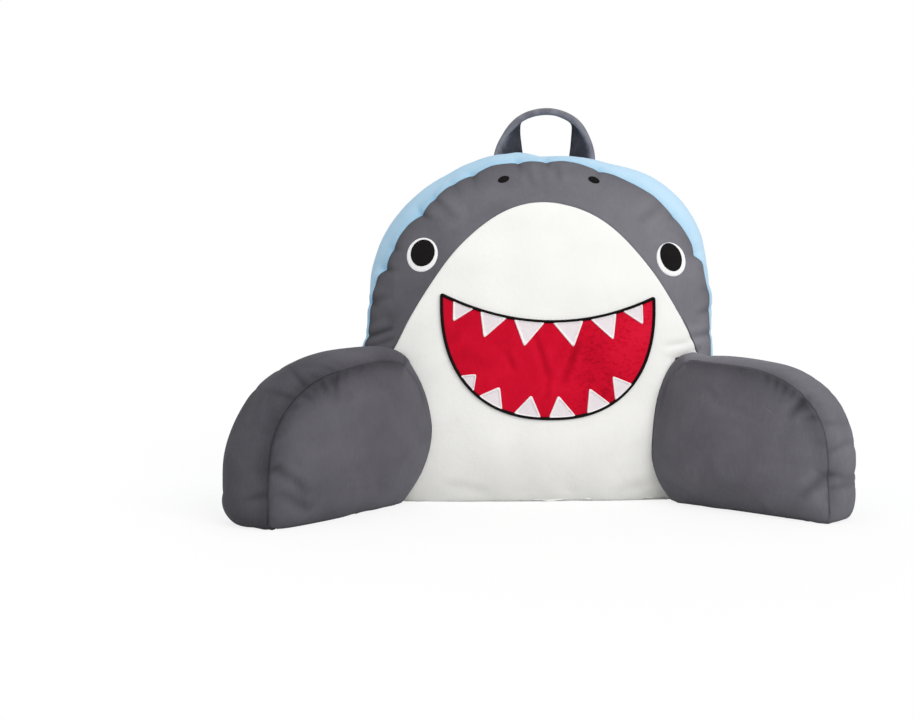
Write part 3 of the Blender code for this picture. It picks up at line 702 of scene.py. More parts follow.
# Creases of the front, as (start, end, depth, half width) with places in (x, z)
FRONT_CREASES = (
    ((-0.183, 0.171), (-0.160, 0.183), 0.0019, 0.0034),
    ((-0.182, 0.161), (-0.158, 0.173), 0.0012, 0.0030),
    ((-0.188, 0.205), (-0.164, 0.216), 0.0010, 0.0040),
    ((0.186, 0.178), (0.148, 0.172), 0.0013, 0.0038),
    ((0.186, 0.206), (0.160, 0.196), 0.0009, 0.0040),
    ((0.129, 0.148), (0.168, 0.161), 0.0016, 0.0040),
    ((0.122, 0.164), (0.158, 0.167), 0.0009, 0.0036),
    ((-0.020, 0.356), (-0.012, 0.332), 0.0007, 0.0040),
    ((0.012, 0.356), (0.016, 0.336), 0.0007, 0.0040),
    ((-0.118, 0.318), (-0.092, 0.296), 0.0007, 0.0050),
    ((0.122, 0.312), (0.100, 0.294), 0.0007, 0.0050),
    ((-0.110, 0.022), (-0.060, 0.012), 0.0006, 0.0050),
    ((0.070, 0.012), (0.115, 0.024), 0.0007, 0.0050),
)

# Painted light and shade on the hood and on the gusset, lighter on the right-hand side and darker on the
# left, as (degrees from the right-hand side, tone)
HOOD_LIGHT_AND_SHADE = (
    (-20, 0.60), (-5, 0.85), (12, 0.60), (45, 0.68), (90, 0.30), (135, 0.17), (165, -0.27), (200, -0.30),
)
GUSSET_LIGHT_AND_SHADE = ((-20, 0.15), (60, 0.05), (95, -0.05), (120, -0.25), (190, -0.35), (230, -0.10), (270, 0.0))
BELLY_SHADE = 0.25  # how much darker the belly's foot is
BELLY_SHADE_HEIGHT = 0.10
HOOD_FADE = 0.05  # turn over which the hood's seam and its painted light and shade come in at its end
BELLY_ROLL = (0.0030, 0.0008)  # width and depth of the roll at the belly's seam
SIDE_FADE = (0.03, 0.05)  # how far from its front and back seams the gusset's crown has its full reach
FRONT_FACING = -0.2  # points whose normal's Y is less than this are on the front
BODY_RIPPLE = (0.0007, 0.06, 5)  # height, length and seed
TABLE_STEPS = 1441  # quarters of a degree, once round
TABLE_SOFT = 3.2  # how many of them a corner of a table is rounded over
TABLE_REACH = 8


def tone_of(lift, seam_distance):
    """Painted light and shade at each point: painted shade in a crease and a little by a seam, painted
    highlight on a ridge.
    """
    tone = np.clip(lift / CREASE_SHADE_DEPTH, *CREASE_SHADE_AND_HIGHLIGHT)
    seam = np.exp(-(seam_distance / SEAM_SHADE_WIDTH) ** 2).ravel()
    tone[: len(seam)] -= SEAM_SHADE * seam
    return np.clip(tone, -1.0, 1.0)


def reach_at(angle, table):
    """A table of (degrees, millimetres) read at each angle, in metres and without its corners."""
    places, reach = np.array(table).T
    turn = (np.degrees(angle) + 90) % 360 - 90
    fine = np.linspace(-90, 270, TABLE_STEPS)
    kernel = np.exp(-(np.arange(-TABLE_REACH, TABLE_REACH + 1) / TABLE_SOFT) ** 2)
    padded = np.pad(np.interp(fine, places, reach), TABLE_REACH, "edge")
    smooth = np.convolve(padded, kernel / kernel.sum(), "valid")
    return np.interp(turn, fine, smooth) / 1000


def dress_body(skin):
    """The hood's uneven edge, rolled seams and creases, as moves of the body's points."""
    angle = TAU * np.arange(RAYS) / RAYS
    rings = skin.rings()
    rows, count = skin.rows, skin.count
    normals = skin.normals()
    belly, front, back = (column_distance(rings, row) for row in (BELLY_SEAM, FRONT_SEAM, BACK_SEAM))
    outward = np.stack([np.cos(angle), np.zeros(count), np.sin(angle)], axis=1)
    fade = np.exp(-(front / np.where(front < 0, *EDGE_FADE)) ** 2)
    level = np.arcsin(np.sin(angle))
    drawn = np.exp(-(level / DRAWN_ANGLE) ** 2) * (np.cos(angle) > 0) * DRAWN_IN
    side = smooth_step(front / SIDE_FADE[0]) * smooth_step(-back / SIDE_FADE[1])
    crown = reach_at(angle, CROWN_REACH) - drawn
    move = (fade * reach_at(angle, EDGE_REACH)[None, :] + side * crown[None, :])[..., None] * outward[None]
    lift = np.zeros((rows, count))
    radius = np.linalg.norm(rings[FRONT_SEAM][:, [0, 2]] - (0, WIDEST_Z), axis=1)
    draw = np.random.default_rng(NOTCH_SEED)
    for notches, distance, lengths, wider in (
        (NOTCHES, front, NOTCH_LENGTH, 1.0),
        (BACK_NOTCHES, back, BACK_NOTCH_LENGTH, BACK_NOTCH_WIDER),
    ):
        for place in notches:
            along = ((angle - math.radians(place) + math.pi) % TAU - math.pi) * radius
            depth = draw.uniform(*NOTCH_DEEPER) * NOTCH_FOLD[0]
            length = draw.uniform(*lengths)
            slant = draw.uniform(-NOTCH_SLANT, NOTCH_SLANT)
            lift -= fold(along[None, :], np.abs(distance), 0.0, depth, wider * NOTCH_FOLD[1], length, slant)
    hooded = step_from(level, HOOD_END, HOOD_FADE)
    lift -= seam_roll(front) + seam_roll(belly, *BELLY_ROLL) * hooded[None, :] + seam_roll(back)
    total = np.zeros((len(skin.points), 3))
    ring_normals = normals[: rows * count].reshape(rows, count, 3)
    total[: rows * count] = (move + lift[..., None] * ring_normals).reshape(-1, 3)
    places = skin.points[:, [0, 2]]
    facing = normals[:, 1] < FRONT_FACING
    flat = np.zeros(len(skin.points))
    flat[: rows * count] = lift.ravel()
    for mark in FRONT_CREASES:
        dip = crease(places, *mark) * facing
        total -= dip[:, None] * normals
        flat -= dip
    near = np.minimum(np.abs(front), np.abs(back))
    # Painted shade in creases and by the front and back seams, and painted highlight on ridges
    skin.tone = tone_of(flat, near)
    # Painted light and shade: the hood and the gusset lighter on the right-hand side, darker on the left
    painted_light = np.zeros((rows, count))
    turn = (np.degrees(angle) + 90) % 360 - 90
    painted_light[BELLY_SEAM + 1 : FRONT_SEAM] = hooded * np.interp(turn, *np.array(HOOD_LIGHT_AND_SHADE).T)
    painted_light[FRONT_SEAM + 1 : BACK_SEAM] = np.interp(turn, *np.array(GUSSET_LIGHT_AND_SHADE).T)
    skin.tone[: rows * count] += painted_light.ravel()
    skin.tone -= BELLY_SHADE * (1 - smooth_step(skin.points[:, 2] / BELLY_SHADE_HEIGHT)) * facing
    total += ripple(skin.points, *BODY_RIPPLE)[:, None] * normals
    total[skin.grounded()] = 0.0
    return skin.points + total


# Puckers along an arm's seam on its panels, as (metres from the root, length, slant, depth in millimetres)
PUCKERS = {
    "left": (
        (0.062, 0.014, 0.5, 0.7), (0.084, 0.020, 0.6, 1.1), (0.096, 0.032, 0.8, 1.9),
        (0.106, 0.018, 0.4, 1.3), (0.119, 0.022, 0.3, 1.8), (0.131, 0.016, 0.2, 1.2),
        (0.143, 0.020, 0.0, 1.4), (0.160, 0.012, -0.2, 0.8), (0.192, 0.014, -0.2, 0.6),
        (0.226, 0.018, -0.3, 0.9),
    ),
    "right": (
        (0.070, 0.014, 0.3, 0.6), (0.102, 0.020, 0.5, 1.1), (0.114, 0.024, 0.5, 1.5),
        (0.125, 0.026, 0.5, 1.8), (0.136, 0.020, 0.4, 1.5), (0.148, 0.030, 0.3, 2.2),
        (0.159, 0.022, 0.1, 1.9), (0.171, 0.022, -0.1, 1.5), (0.198, 0.016, -0.2, 0.9),
        (0.228, 0.018, -0.2, 0.9),
    ),
}
PUCKER_HALF_WIDTH = 0.0034
PUCKER_WIDEN = 12  # how much wider a longer pucker is, for each metre of length
PUCKER_START = 0.004  # how far from the seam a pucker has its full depth
PUCKER_ON_BAND = 0.35  # share of its depth on the band's side of the seam
ARM_ROLL = (0.0045, 0.0016)  # width and depth of the roll at an arm's seams
# Creases over the bands, in the same way
BAND_CREASES = {
    "left": ((0.136, 0.050, -0.25, 1.5), (0.152, 0.045, 0.20, 1.2), (0.246, 0.040, 0.2, 1.2)),
    "right": (
        (0.178, 0.040, 0.2, 1.0), (0.205, 0.045, -0.2, 1.2), (0.226, 0.045, 0.2, 1.4),
        (0.240, 0.040, -0.1, 1.4),
    ),
}
ROOT_SEAM = (0.0011, 0.0024)  # depth and half width of the seam that goes on down the root
ROOT_SEAM_TURN = math.radians(22.5)  # how far round the root it lies
ROOT_SEAM_BEND = 0.022  # height over which it turns there from the top
ROOT_SEAM_START = -0.01  # turn just before the inner panel's seam
ROOT_SEAM_END = (0.080, 0.035)  # level at which it has died out, and height over which it does
UNDER_SEAM = 0.017  # how far down an arm's inner panel the painted shade under its seam reaches
UNDER_SEAM_SHADE = 0.40
UNDER_SEAM_FADE = (0.08, 0.02)  # height and length over which that comes in above the floor and past the root
INNER_FACING = 0.4  # points whose normal leans inwards more than this are on the inner panel
ARM_RIPPLE = (0.0008, 0.05)  # height and length
ARM_RIPPLE_SEED = {"left": 21, "right": 22}
ROOT_CALM = 0.02  # length by the root that has no ripple

# Creases of the arms' panels, as (start, end, depth, half width) with places in (forward, z)
INNER_CREASES = {
    "left": (
        ((0.172, 0.060), (0.140, 0.030), 0.0012, 0.0045),
        ((0.168, 0.036), (0.135, 0.014), 0.0012, 0.0045),
    ),
    "right": (
        ((0.172, 0.050), (0.145, 0.022), 0.0013, 0.0045),
        ((0.150, 0.120), (0.132, 0.096), 0.0013, 0.0040),
    ),
}


def dress_arm(skin, side):
    """Rolled seams, puckers and creases, as moves of an arm's points."""
    rings = skin.rings()
    rows, count = skin.rows, skin.count
    normals = skin.normals()
    first, last = len(ARM_ROWS) - 1, len(ARM_ROWS) + len(ARM_BAND_ROWS)
    seamed = np.isin(skin.marks[first * count : (first + 1) * count], ("band", "base"))
    lift = np.zeros((rows, count))
    root_end = np.argmax(seamed)
    steps = np.linalg.norm(np.diff(rings[first][:, 1:], axis=0), axis=1)
    along = np.concatenate([[0], np.cumsum(steps)])
    along -= along[root_end]
    for row in (first, last):
        distance = column_distance(rings, row)
        lift -= seam_roll(distance, *ARM_ROLL) * seamed[None, :]
        panel = distance <= 0 if row == first else distance >= 0
        away = np.abs(distance)
        start = smooth_step(away / PUCKER_START)
        for place, length, slant, depth in PUCKERS[side]:
            width = PUCKER_HALF_WIDTH * (1 + PUCKER_WIDEN * length)
            shape = fold(along[None, :], away, place, depth / 1000, width, length, slant)
            lift -= start * np.where(panel, shape, PUCKER_ON_BAND * shape)
        for place, length, slant, depth in BAND_CREASES[side]:
            shape = fold(along[None, :], away, place, depth / 1000, PUCKER_HALF_WIDTH, length, slant)
            lift -= start * np.where(panel, 0.0, shape)
    row_turn = math.pi * (np.arange(rows) - first) / (last - first)
    row_turn = (row_turn if side == "left" else math.pi - row_turn)[:, None]
    z = rings[..., 2]
    aim = ROOT_SEAM_TURN * smooth_step((float(arm_top(side, 0.0)) - z) / ROOT_SEAM_BEND)
    apart = (row_turn - aim) * root_radius(side, z) / ROOT_SEAM[1]
    shown = step_from(z, *ROOT_SEAM_END) * ~seamed[None, :]
    shown = shown * ((row_turn > ROOT_SEAM_START) & (row_turn < math.pi / 2))
    lift -= ROOT_SEAM[0] * np.exp(-apart ** 2) * shown
    total = np.zeros(len(skin.points))
    total[: rows * count] = lift.ravel()
    inward = 1 if side == "left" else -1
    facing = normals[:, 0] * inward > INNER_FACING
    places = np.stack([-skin.points[:, 1], skin.points[:, 2]], axis=1)
    for mark in INNER_CREASES[side]:
        total -= crease(places, *mark) * facing
    near = np.minimum(*(np.abs(column_distance(rings, row)) for row in (first, last)))
    # Painted shade in creases and puckers and by the seams, and painted highlight on ridges
    skin.tone = tone_of(total, np.where(seamed[None, :], near, 1.0))
    # Painted shade on the inner panel just under its top seam
    down = column_distance(rings, first) if side == "left" else -column_distance(rings, last)
    under = np.exp(-(down / UNDER_SEAM) ** 2) * (down < 0)
    height, length = UNDER_SEAM_FADE
    under *= smooth_step(z / height - 0.5) * smooth_step(-rings[..., 1] / length) * seamed[None, :]
    skin.tone[: rows * count] -= UNDER_SEAM_SHADE * under.ravel()
    total += ripple(skin.points, *ARM_RIPPLE, ARM_RIPPLE_SEED[side]) * (skin.points[:, 1] < -ROOT_CALM)
    total[skin.grounded()] = 0.0
    return skin.points + total[:, None] * normals


# Swelling: each cushion's cover is blown up as cloth, with its seams drawn tighter than its panels

SWELL_FRAMES = 20
CLOTH_SETTINGS = {
    "quality": 6,
    "tension_stiffness": 20,
    "compression_stiffness": 20,
    "shear_stiffness": 8,
    "bending_stiffness": 0.4,
    "use_pressure": True,
    "vertex_group_mass": "held",
    "vertex_group_shrink": "seamed",
}
ROOT_HELD = 0.002  # points of an arm nearer to its hinge line than this are held
HOLD_FADE = 0.075  # length over which an arm's cover comes free of its held root


def doubled(values, axis, closed=False):
    """Values with a smooth one put in between each two along an axis."""
    values = np.moveaxis(values, axis, 0)
    if closed:
        wide = np.concatenate([values[-1:], values, values[:2]])
    else:
        wide = np.concatenate([2 * values[:1] - values[1:2], values, 2 * values[-1:] - values[-2:-1]])
    middle = (9 * (wide[1:-2] + wide[2:-1]) - wide[:-3] - wide[3:]) / 16
    mixed = np.empty((len(values) + len(middle), *values.shape[1:]))
    mixed[0::2] = values
    mixed[1::2] = middle
    return np.moveaxis(mixed, 0, axis)


def refined(skin, values):
    """Values given at a skin's thinned points, spread smoothly over all of its points."""
    rings, front, back = skin_grids((skin.rows + 1) // 2, skin.count // 2, skin.start // 2)
    parts = [doubled(doubled(values[rings], 1, closed=True), 0).reshape(-1, 3)]
    for grid in (front, back):
        parts.append(doubled(doubled(values[grid], 1), 0)[1:-1, 1:-1].reshape(-1, 3))
    return np.vstack(parts)


def evened(values, quads, held, rounds):
    """Values averaged with their neighbours along the quads' sides, in rounds. Held ones stay nought."""
    count = np.zeros((len(values), 1))
    pairs = [(quads[:, k], quads[:, (k + 1) % 4]) for k in range(4)]
    for a, b in pairs:
        np.add.at(count, a, 1.0)
        np.add.at(count, b, 1.0)
    for _ in range(rounds):
        total = np.zeros_like(values)
        for a, b in pairs:
            np.add.at(total, a, values[b])
            np.add.at(total, b, values[a])
        values = (0.5 * values + 0.5 * total / count) * (1 - held)
    return values


def swell(skin, held, seamed, pressure, slack, tight, cap, rounds):
    """How far each point moves as the cover swells: held points stay, and seams shrink while panels give."""
    moves = np.zeros_like(skin.points)
    numbers, quads = skin.thinned()
    start = skin.points[numbers]
    obj = new_object("swelling", start, quads)
    for name, share in (("held", held), ("seamed", seamed)):
        group = obj.vertex_groups.new(name=name)
        for number, weight in enumerate(share[numbers]):
            if weight > 0:
                group.add([number], float(weight), "REPLACE")
    cloth = obj.modifiers.new("cloth", "CLOTH")
    settings = {
        **CLOTH_SETTINGS,
        "uniform_pressure_force": pressure,
        "shrink_min": slack,
        "shrink_max": tight,
    }
    for key, value in settings.items():
        setattr(cloth.settings, key, value)
    cloth.settings.effector_weights.gravity = 0.0
    cloth.collision_settings.use_collision = False
    cloth.point_cache.frame_end = SWELL_FRAMES
    scene = bpy.context.scene
    for number in range(1, SWELL_FRAMES + 1):
        scene.frame_set(number)
    shown = obj.evaluated_get(bpy.context.evaluated_depsgraph_get())
    end = np.empty(len(start) * 3)
    shown.data.vertices.foreach_get("co", end)
    bpy.data.objects.remove(obj)
    scene.frame_set(1)
    moves = end.reshape(-1, 3) - start
    far = np.linalg.norm(moves, axis=1, keepdims=True)
    moves *= np.minimum(1.0, cap / np.maximum(far, 1e-9))
    return refined(skin, evened(moves, quads, held[numbers][:, None], rounds))


# Cloth pieces

# Painted light and shade on an arm's inner panel (rear low, front low, rear high, front high) and on its
# band (rear, front)
PANEL_LIGHT_AND_SHADE = {"left": (0.38, -0.42, -0.38, -0.10), "right": (0.15, 0.45, -0.15, 0.30)}
BAND_LIGHT_AND_SHADE = {"left": (-0.30, -0.65), "right": (0.85, 0.35)}
BAND_LIGHT_AND_SHADE_TURN = (0.40, 0.35)  # share of the length at which the rear one gives way, and over which it does
SHELL = 0.0016  # thickness of the cover's cloth
SHARP_ANGLE = math.radians(50)  # an edge that turns more than this is shaded as an edge
FILL_INSET = 0.0030  # gap that keeps the stuffing clear of its cover


def cloth_piece(name, skin, points, label):
    """One panel of a cover: the faces with that mark, with the cloth's thickness on their inner side."""
    picked = skin.quads[skin.marks == label]
    used, faces = np.unique(picked, return_inverse=True)
    obj = new_object(name, points[used], faces.reshape(-1, 4))
    set_tone(obj, skin.tone[used])
    thicken(obj, SHELL)
    return obj


def arm_matrix(side):
    sign = -1 if side == "left" else 1
    return Matrix.Translation(ARM_HINGE[side]) @ Matrix.Rotation(sign * ARM_SPLAY, 4, "Z")


POCKET_LEVELS = 24
POCKET_CROWN = 9  # steps of the rounded top
POCKET_STEPS = 72  # steps once round


def pocket(side):
    """Cutter for an arm's seat in the body: the arm's root turned about its hinge line, with room."""
    room = CLOTH + SWING_CLEARANCE
    root_top = float(arm_top(side, 0.0))
    heights = np.linspace(0, root_top, POCKET_LEVELS)
    profile = [(0.0, -room)] + [(float(arm_half(side, 0.0, z)) + room, float(z)) for z in heights]
    profile[1] = (profile[1][0], -room)
    for turn in np.linspace(math.pi / 2, 0, POCKET_CROWN)[1:]:
        crown = BAND_CROWN[side] * math.cos(turn) ** 2
        profile.append((profile[POCKET_LEVELS][0] * math.sin(turn), root_top + crown + room))
    steps = POCKET_STEPS
    points = [(0.0, 0.0, profile[0][1]), (0.0, 0.0, profile[-1][1])]
    ring = [p for p in profile if p[0] > 1e-9]
    for radius, z in ring:
        for k in range(steps):
            points.append((radius * math.cos(TAU * k / steps), radius * math.sin(TAU * k / steps), z))
    faces = []
    for k in range(steps):
        m = (k + 1) % steps
        faces.append((0, 2 + m, 2 + k))
        for i in range(len(ring) - 1):
            a, b = 2 + i * steps, 2 + (i + 1) * steps
            faces.append((a + k, a + m, b + m, b + k))
        top = 2 + (len(ring) - 1) * steps
        faces.append((1, top + k, top + m))
    cutter = new_object(f"{side}_pocket", points, faces)
    cutter.data.transform(Matrix.Translation(ARM_HINGE[side]))
    cutter.hide_render = True
    return cutter


def make_fill(name, skin, points):
    """The stuffing under a cover, as a closed form of half the cover's points."""
    numbers, quads = skin.thinned()
    inner = points - vertex_normals(points, skin.quads) * FILL_INSET
    inner[:, 2] = np.maximum(inner[:, 2], FILL_INSET + CLOTH)
    return new_object(name, inner[numbers], quads)


def cut_seats(piece, cutters):
    for cutter in cutters:
        seat = piece.modifiers.new("seat", "BOOLEAN")
        seat.object = cutter
        seat.operation = "DIFFERENCE"
        seat.solver = "MANIFOLD"


def swell_body(skin):
    seamed = skin.on_rows([FRONT_SEAM, BACK_SEAM])
    held = np.maximum(skin.grounded().astype(float), seamed)
    return swell(skin, held, seamed, pressure=3.0, slack=-0.003, tight=0.0, cap=0.006, rounds=3)


def make_body():
    skin = body_skin()
    skin.points = skin.points + swell_body(skin)
    skin.points = dress_body(skin)
    outer = skin.offset(CLOTH)
    outer[:, 2] = np.maximum(outer[:, 2], 0.0)
    pieces = {label: cloth_piece(f"{label}_cloth", skin, outer, label)
              for label in ("belly", "hood", "gusset", "base", "back")}
    pieces["fill"] = make_fill("body_fill", skin, skin.points)
    cutters = [pocket(side) for side in ("left", "right")]
    for label in ("belly", "hood", "gusset", "base", "fill"):
        cut_seats(pieces[label], cutters)
    for piece in pieces.values():
        apply_modifiers(piece)
        piece.data.set_sharp_from_angle(angle=SHARP_ANGLE)
    for cutter in cutters:
        bpy.data.objects.remove(cutter)
    front = skin.quads[np.isin(skin.marks, ("belly", "hood"))]
    tree = BVHTree.FromPolygons([Vector(p) for p in outer], [tuple(map(int, q)) for q in front])
    return pieces, tree


def swell_arm(skin):
    held = (skin.points[:, 1] > -ROOT_HELD).astype(float)
    held[skin.quads[skin.marks == "base"]] = 1.0
    seamed = skin.on_rows([len(ARM_ROWS) - 1, len(ARM_ROWS) + len(ARM_BAND_ROWS)])
    moves = swell(skin, held, seamed, pressure=6.0, slack=-0.005, tight=0.010, cap=0.010, rounds=10)
    return moves * smooth_step(-skin.points[:, 1:2] / HOLD_FADE)


def paint_arm_light_and_shade(skin, side, inner):
    """Paints light and shade on the inner panel and the band of an arm, changing along its length and up its
    panel.
    """
    front = np.clip(-skin.points[:, 1] / ARM_LENGTH[side], 0.0, 1.0)
    high = np.clip(skin.points[:, 2] / ARM_SEAM_Z[side], 0.0, 1.0)
    low_rear, low_front, high_rear, high_front = PANEL_LIGHT_AND_SHADE[side]
    low = low_rear + (low_front - low_rear) * front
    panel = low + (high_rear + (high_front - high_rear) * front - low) * high
    rear, nose = BAND_LIGHT_AND_SHADE[side]
    band = rear + (nose - rear) * step_from(front, *BAND_LIGHT_AND_SHADE_TURN)
    for mark, tone in ((inner, panel), ("band", band)):
        used = np.unique(skin.quads[skin.marks == mark])
        skin.tone[used] += tone[used]


def make_arm(side):
    skin = arm_skin(side)
    skin.points = skin.points + swell_arm(skin)
    skin.points = dress_arm(skin, side)
    outer = skin.offset(CLOTH)
    outer[:, 2] = np.maximum(outer[:, 2], 0.0)
    inner = "plus_x" if side == "left" else "minus_x"
    other = "minus_x" if side == "left" else "plus_x"
    paint_arm_light_and_shade(skin, side, inner)
    pieces = {"fill": make_fill(f"{side}_arm_fill", skin, skin.points)}
    for label, mark in (("inner", inner), ("outer", other), ("band", "band"), ("base", "base")):
        pieces[label] = cloth_piece(f"{side}_arm_{label}_cloth", skin, outer, mark)
    for piece in pieces.values():
        apply_modifiers(piece)
        piece.data.transform(arm_matrix(side))
        piece.data.set_sharp_from_angle(angle=SHARP_ANGLE)
    return pieces


body_pieces, front_tree = make_body()
arm_pieces = {side: make_arm(side) for side in ("left", "right")}


# Handle: one strap whose feet face forward and whose grip lies flat

STRAP_STEPS = 96
STRAP_SIDES = 36
STRAP_SQUARE = 3.0  # roundness of the strap's section: 2 is an ellipse, more is squarer
STRAP_SUNK = 0.010  # length of each foot that is sewn into the gusset
STRAP_TWIST = 1.5  # how late the strap turns from its upright feet to its level grip
STRAP_LEAST = 0.02  # share of the grip's width that a foot keeps from front to back
FLARE_POWER = 6  # how close to the foot its flare starts
EDGE_ROLL = 0.75  # how much thicker the rolled front edge is than the strap
EDGE_ROLL_WIDTH = 0.20  # share of the strap's width that the roll takes
EDGE_ROLL_PLACE = 0.08  # where it is thickest
EDGE_HIGHLIGHT_AND_SHADE = (1.6, -0.5)  # painted highlight on the rolled edge and painted shade on the strap behind it
SWAY = 0.0003  # how uneven the strap's back edge lies
SWAY_WAVES = 5
SWAY_SEED = 3


def strap_frame(turn):
    """Front edge, way across to the back edge and face direction of the strap at a turn along its arch."""
    rise = HANDLE_TOP_Z - HANDLE_THICKNESS / 2 - HANDLE_HINGE.z
    twist = math.sin(turn) ** STRAP_TWIST
    side = -math.cos(turn)
    grip = Vector((0.0, math.cos(HANDLE_GRIP_TILT), -math.sin(HANDLE_GRIP_TILT))) * HANDLE_GRIP_WIDTH
    out = HANDLE_OUTER_HALF * side - HANDLE_FLARE * max(0.0, -side) ** FLARE_POWER
    front = Vector((out + HANDLE_LEAN, -twist * grip.y / 2, rise * math.sin(turn)))
    past = abs(out) - HANDLE_INNER_HALF - HANDLE_INNER_SPREAD * math.sin(turn)
    inset = (past + math.hypot(past, HANDLE_INNER_SOFT)) / 2
    across = grip * max(twist, STRAP_LEAST) - Vector((math.copysign(inset, side), 0.0, 0.0))
    along = Vector((math.sin(turn), 0.0, -side))
    return HANDLE_HINGE + front, across, along.cross(across).normalized()


def make_handle():
    sections = [strap_frame(math.pi * i / STRAP_STEPS) for i in range(STRAP_STEPS + 1)]
    sunk = Vector((0.0, 0.0, -STRAP_SUNK / 2))
    for _ in range(2):
        sections.insert(0, (sections[0][0] + sunk, *sections[0][1:]))
        sections.append((sections[-1][0] + sunk, *sections[-1][1:]))
    points, tones, faces = [], [], []
    half = HANDLE_THICKNESS / 2
    draw = np.random.default_rng(SWAY_SEED)
    waves = [(draw.uniform(2, 9), draw.uniform(0, TAU), draw.uniform(0.2, 1.0)) for _ in range(SWAY_WAVES)]
    for number, (front, across, face) in enumerate(sections):
        t = number / (len(sections) - 1)
        sway = sum(size * math.sin(TAU * rate * t + phase) for rate, phase, size in waves) * SWAY
        for k in range(STRAP_SIDES):
            c, s = math.cos(TAU * k / STRAP_SIDES), math.sin(TAU * k / STRAP_SIDES)
            u = 0.5 - 0.5 * math.copysign(abs(c) ** (2 / STRAP_SQUARE), c)
            roll = math.exp(-((u - EDGE_ROLL_PLACE) / EDGE_ROLL_WIDTH) ** 2)
            v = math.copysign(abs(s) ** (2 / STRAP_SQUARE), s) * (1 + EDGE_ROLL * roll)
            points.append(front + across * u + face * (half * v + sway * u))
            # Painted highlight on the rolled front edge, painted shade on the rest of the strap
            tones.append(EDGE_HIGHLIGHT_AND_SHADE[0] * roll + EDGE_HIGHLIGHT_AND_SHADE[1] * (1 - roll))
    count = len(sections)
    for i in range(count - 1):
        for k in range(STRAP_SIDES):
            m = (k + 1) % STRAP_SIDES
            a, b = i * STRAP_SIDES, (i + 1) * STRAP_SIDES
            faces.append((a + k, b + k, b + m, a + m))
    faces.append(tuple(range(STRAP_SIDES)))
    faces.append(tuple((count - 1) * STRAP_SIDES + k for k in range(STRAP_SIDES))[::-1])
    obj = new_object("handle_strap_cloth", points, faces)
    set_tone(obj, tones)
    return obj


# Face: pieces that lie on the finished front

SINK = 0.0003  # how far a sewn piece bites into the pile under it
SLOPE_STEP = 0.002  # distance over which the front's slope is read
SATIN_SIDES = 9  # points across a line of satin stitch
SATIN_ROUND = 0.9  # how round it is: at 1 its edges come down to nothing
SATIN_FOOT = 0.8  # share of its width that is sewn down
OUTER_TOOTH_X = 0.08  # a lower tooth that ends past this is the outermost
OUTER_TOOTH_SHIFT = 0.5  # share of the lower teeth's shift that its far end takes
TOOTH_ROUND = 0.0020  # how far its corners are rounded


def face_point(x, z, lift):
    """A point on the dressed front for a place of the face's plain drawing."""
    return front_point(x + FACE_SHIFT, z + FACE_TILT * x, lift)


def front_point(x, z, lift):
    """A point on the dressed front at (x, z), lift above it."""
    hit = front_tree.ray_cast(Vector((x, -1.0, z)), Vector((0.0, 1.0, 0.0)))[0]
    step = SLOPE_STEP
    slope_x = float(front_y(x + step, z) - front_y(x - step, z)) / (2 * step)
    slope_z = float(front_y(x, z + step) - front_y(x, z - step)) / (2 * step)
    return hit + Vector((slope_x, -1.0, slope_z)).normalized() * lift


def mouth_lower(turn):
    c, s = np.cos(turn), np.sin(turn)
    x = -np.sign(c) * np.abs(c) ** (2 / MOUTH_ROUND) * MOUTH_HALF_WIDTH
    return np.stack([x, MOUTH_SIDE_Z - np.abs(s) ** (2 / MOUTH_ROUND) * MOUTH_DROP], axis=-1)


def mouth_upper(x):
    return np.stack([x, MOUTH_CORNER_Z - MOUTH_SMILE * (1 - (x / MOUTH_HALF_WIDTH) ** 2)], axis=-1)


def mouth_loop(count, corner):
    """The middle of the lip line, counter-clockwise from its left corner, with soft corners."""
    lower = mouth_lower(np.linspace(0, math.pi, 900)[:-1])
    upper = mouth_upper(np.linspace(MOUTH_HALF_WIDTH, -MOUTH_HALF_WIDTH, 900)[:-1])
    corners = np.array([[MOUTH_HALF_WIDTH, MOUTH_SIDE_Z], [-MOUTH_HALF_WIDTH, MOUTH_CORNER_Z]])
    return softened(np.vstack([lower, corners[:1], upper, corners[1:]]), corner, dense=2400, count=count)


def loop_normals(loop):
    """Directions pointing into a counter-clockwise loop."""
    tangent = np.roll(loop, -1, axis=0) - np.roll(loop, 1, axis=0)
    tangent /= np.linalg.norm(tangent, axis=1, keepdims=True)
    return np.stack([-tangent[:, 1], tangent[:, 0]], axis=1)


def satin_line(name, loop, width, height, thread):
    """A closed line of satin stitch: a low rounded ridge, rippled by its threads."""
    inward = loop_normals(loop)
    sides = np.linspace(-1, 1, SATIN_SIDES)
    points, faces = [], []
    for number, (place, side) in enumerate(zip(loop, inward)):
        wave = 1 + thread * (1 if number % 2 else -1)
        for s in sides:
            x, z = place + side * s * width / 2
            points.append(face_point(x, z, height * wave * math.sqrt(1 - SATIN_ROUND * s * s)))
        for s in (SATIN_FOOT, -SATIN_FOOT):
            x, z = place + side * s * width / 2
            points.append(face_point(x, z, -SINK))
    ring = len(sides) + 2
    for i in range(len(loop)):
        faces += ring_faces(i * ring, ((i + 1) % len(loop)) * ring, ring)
    return new_object(name, points, faces)


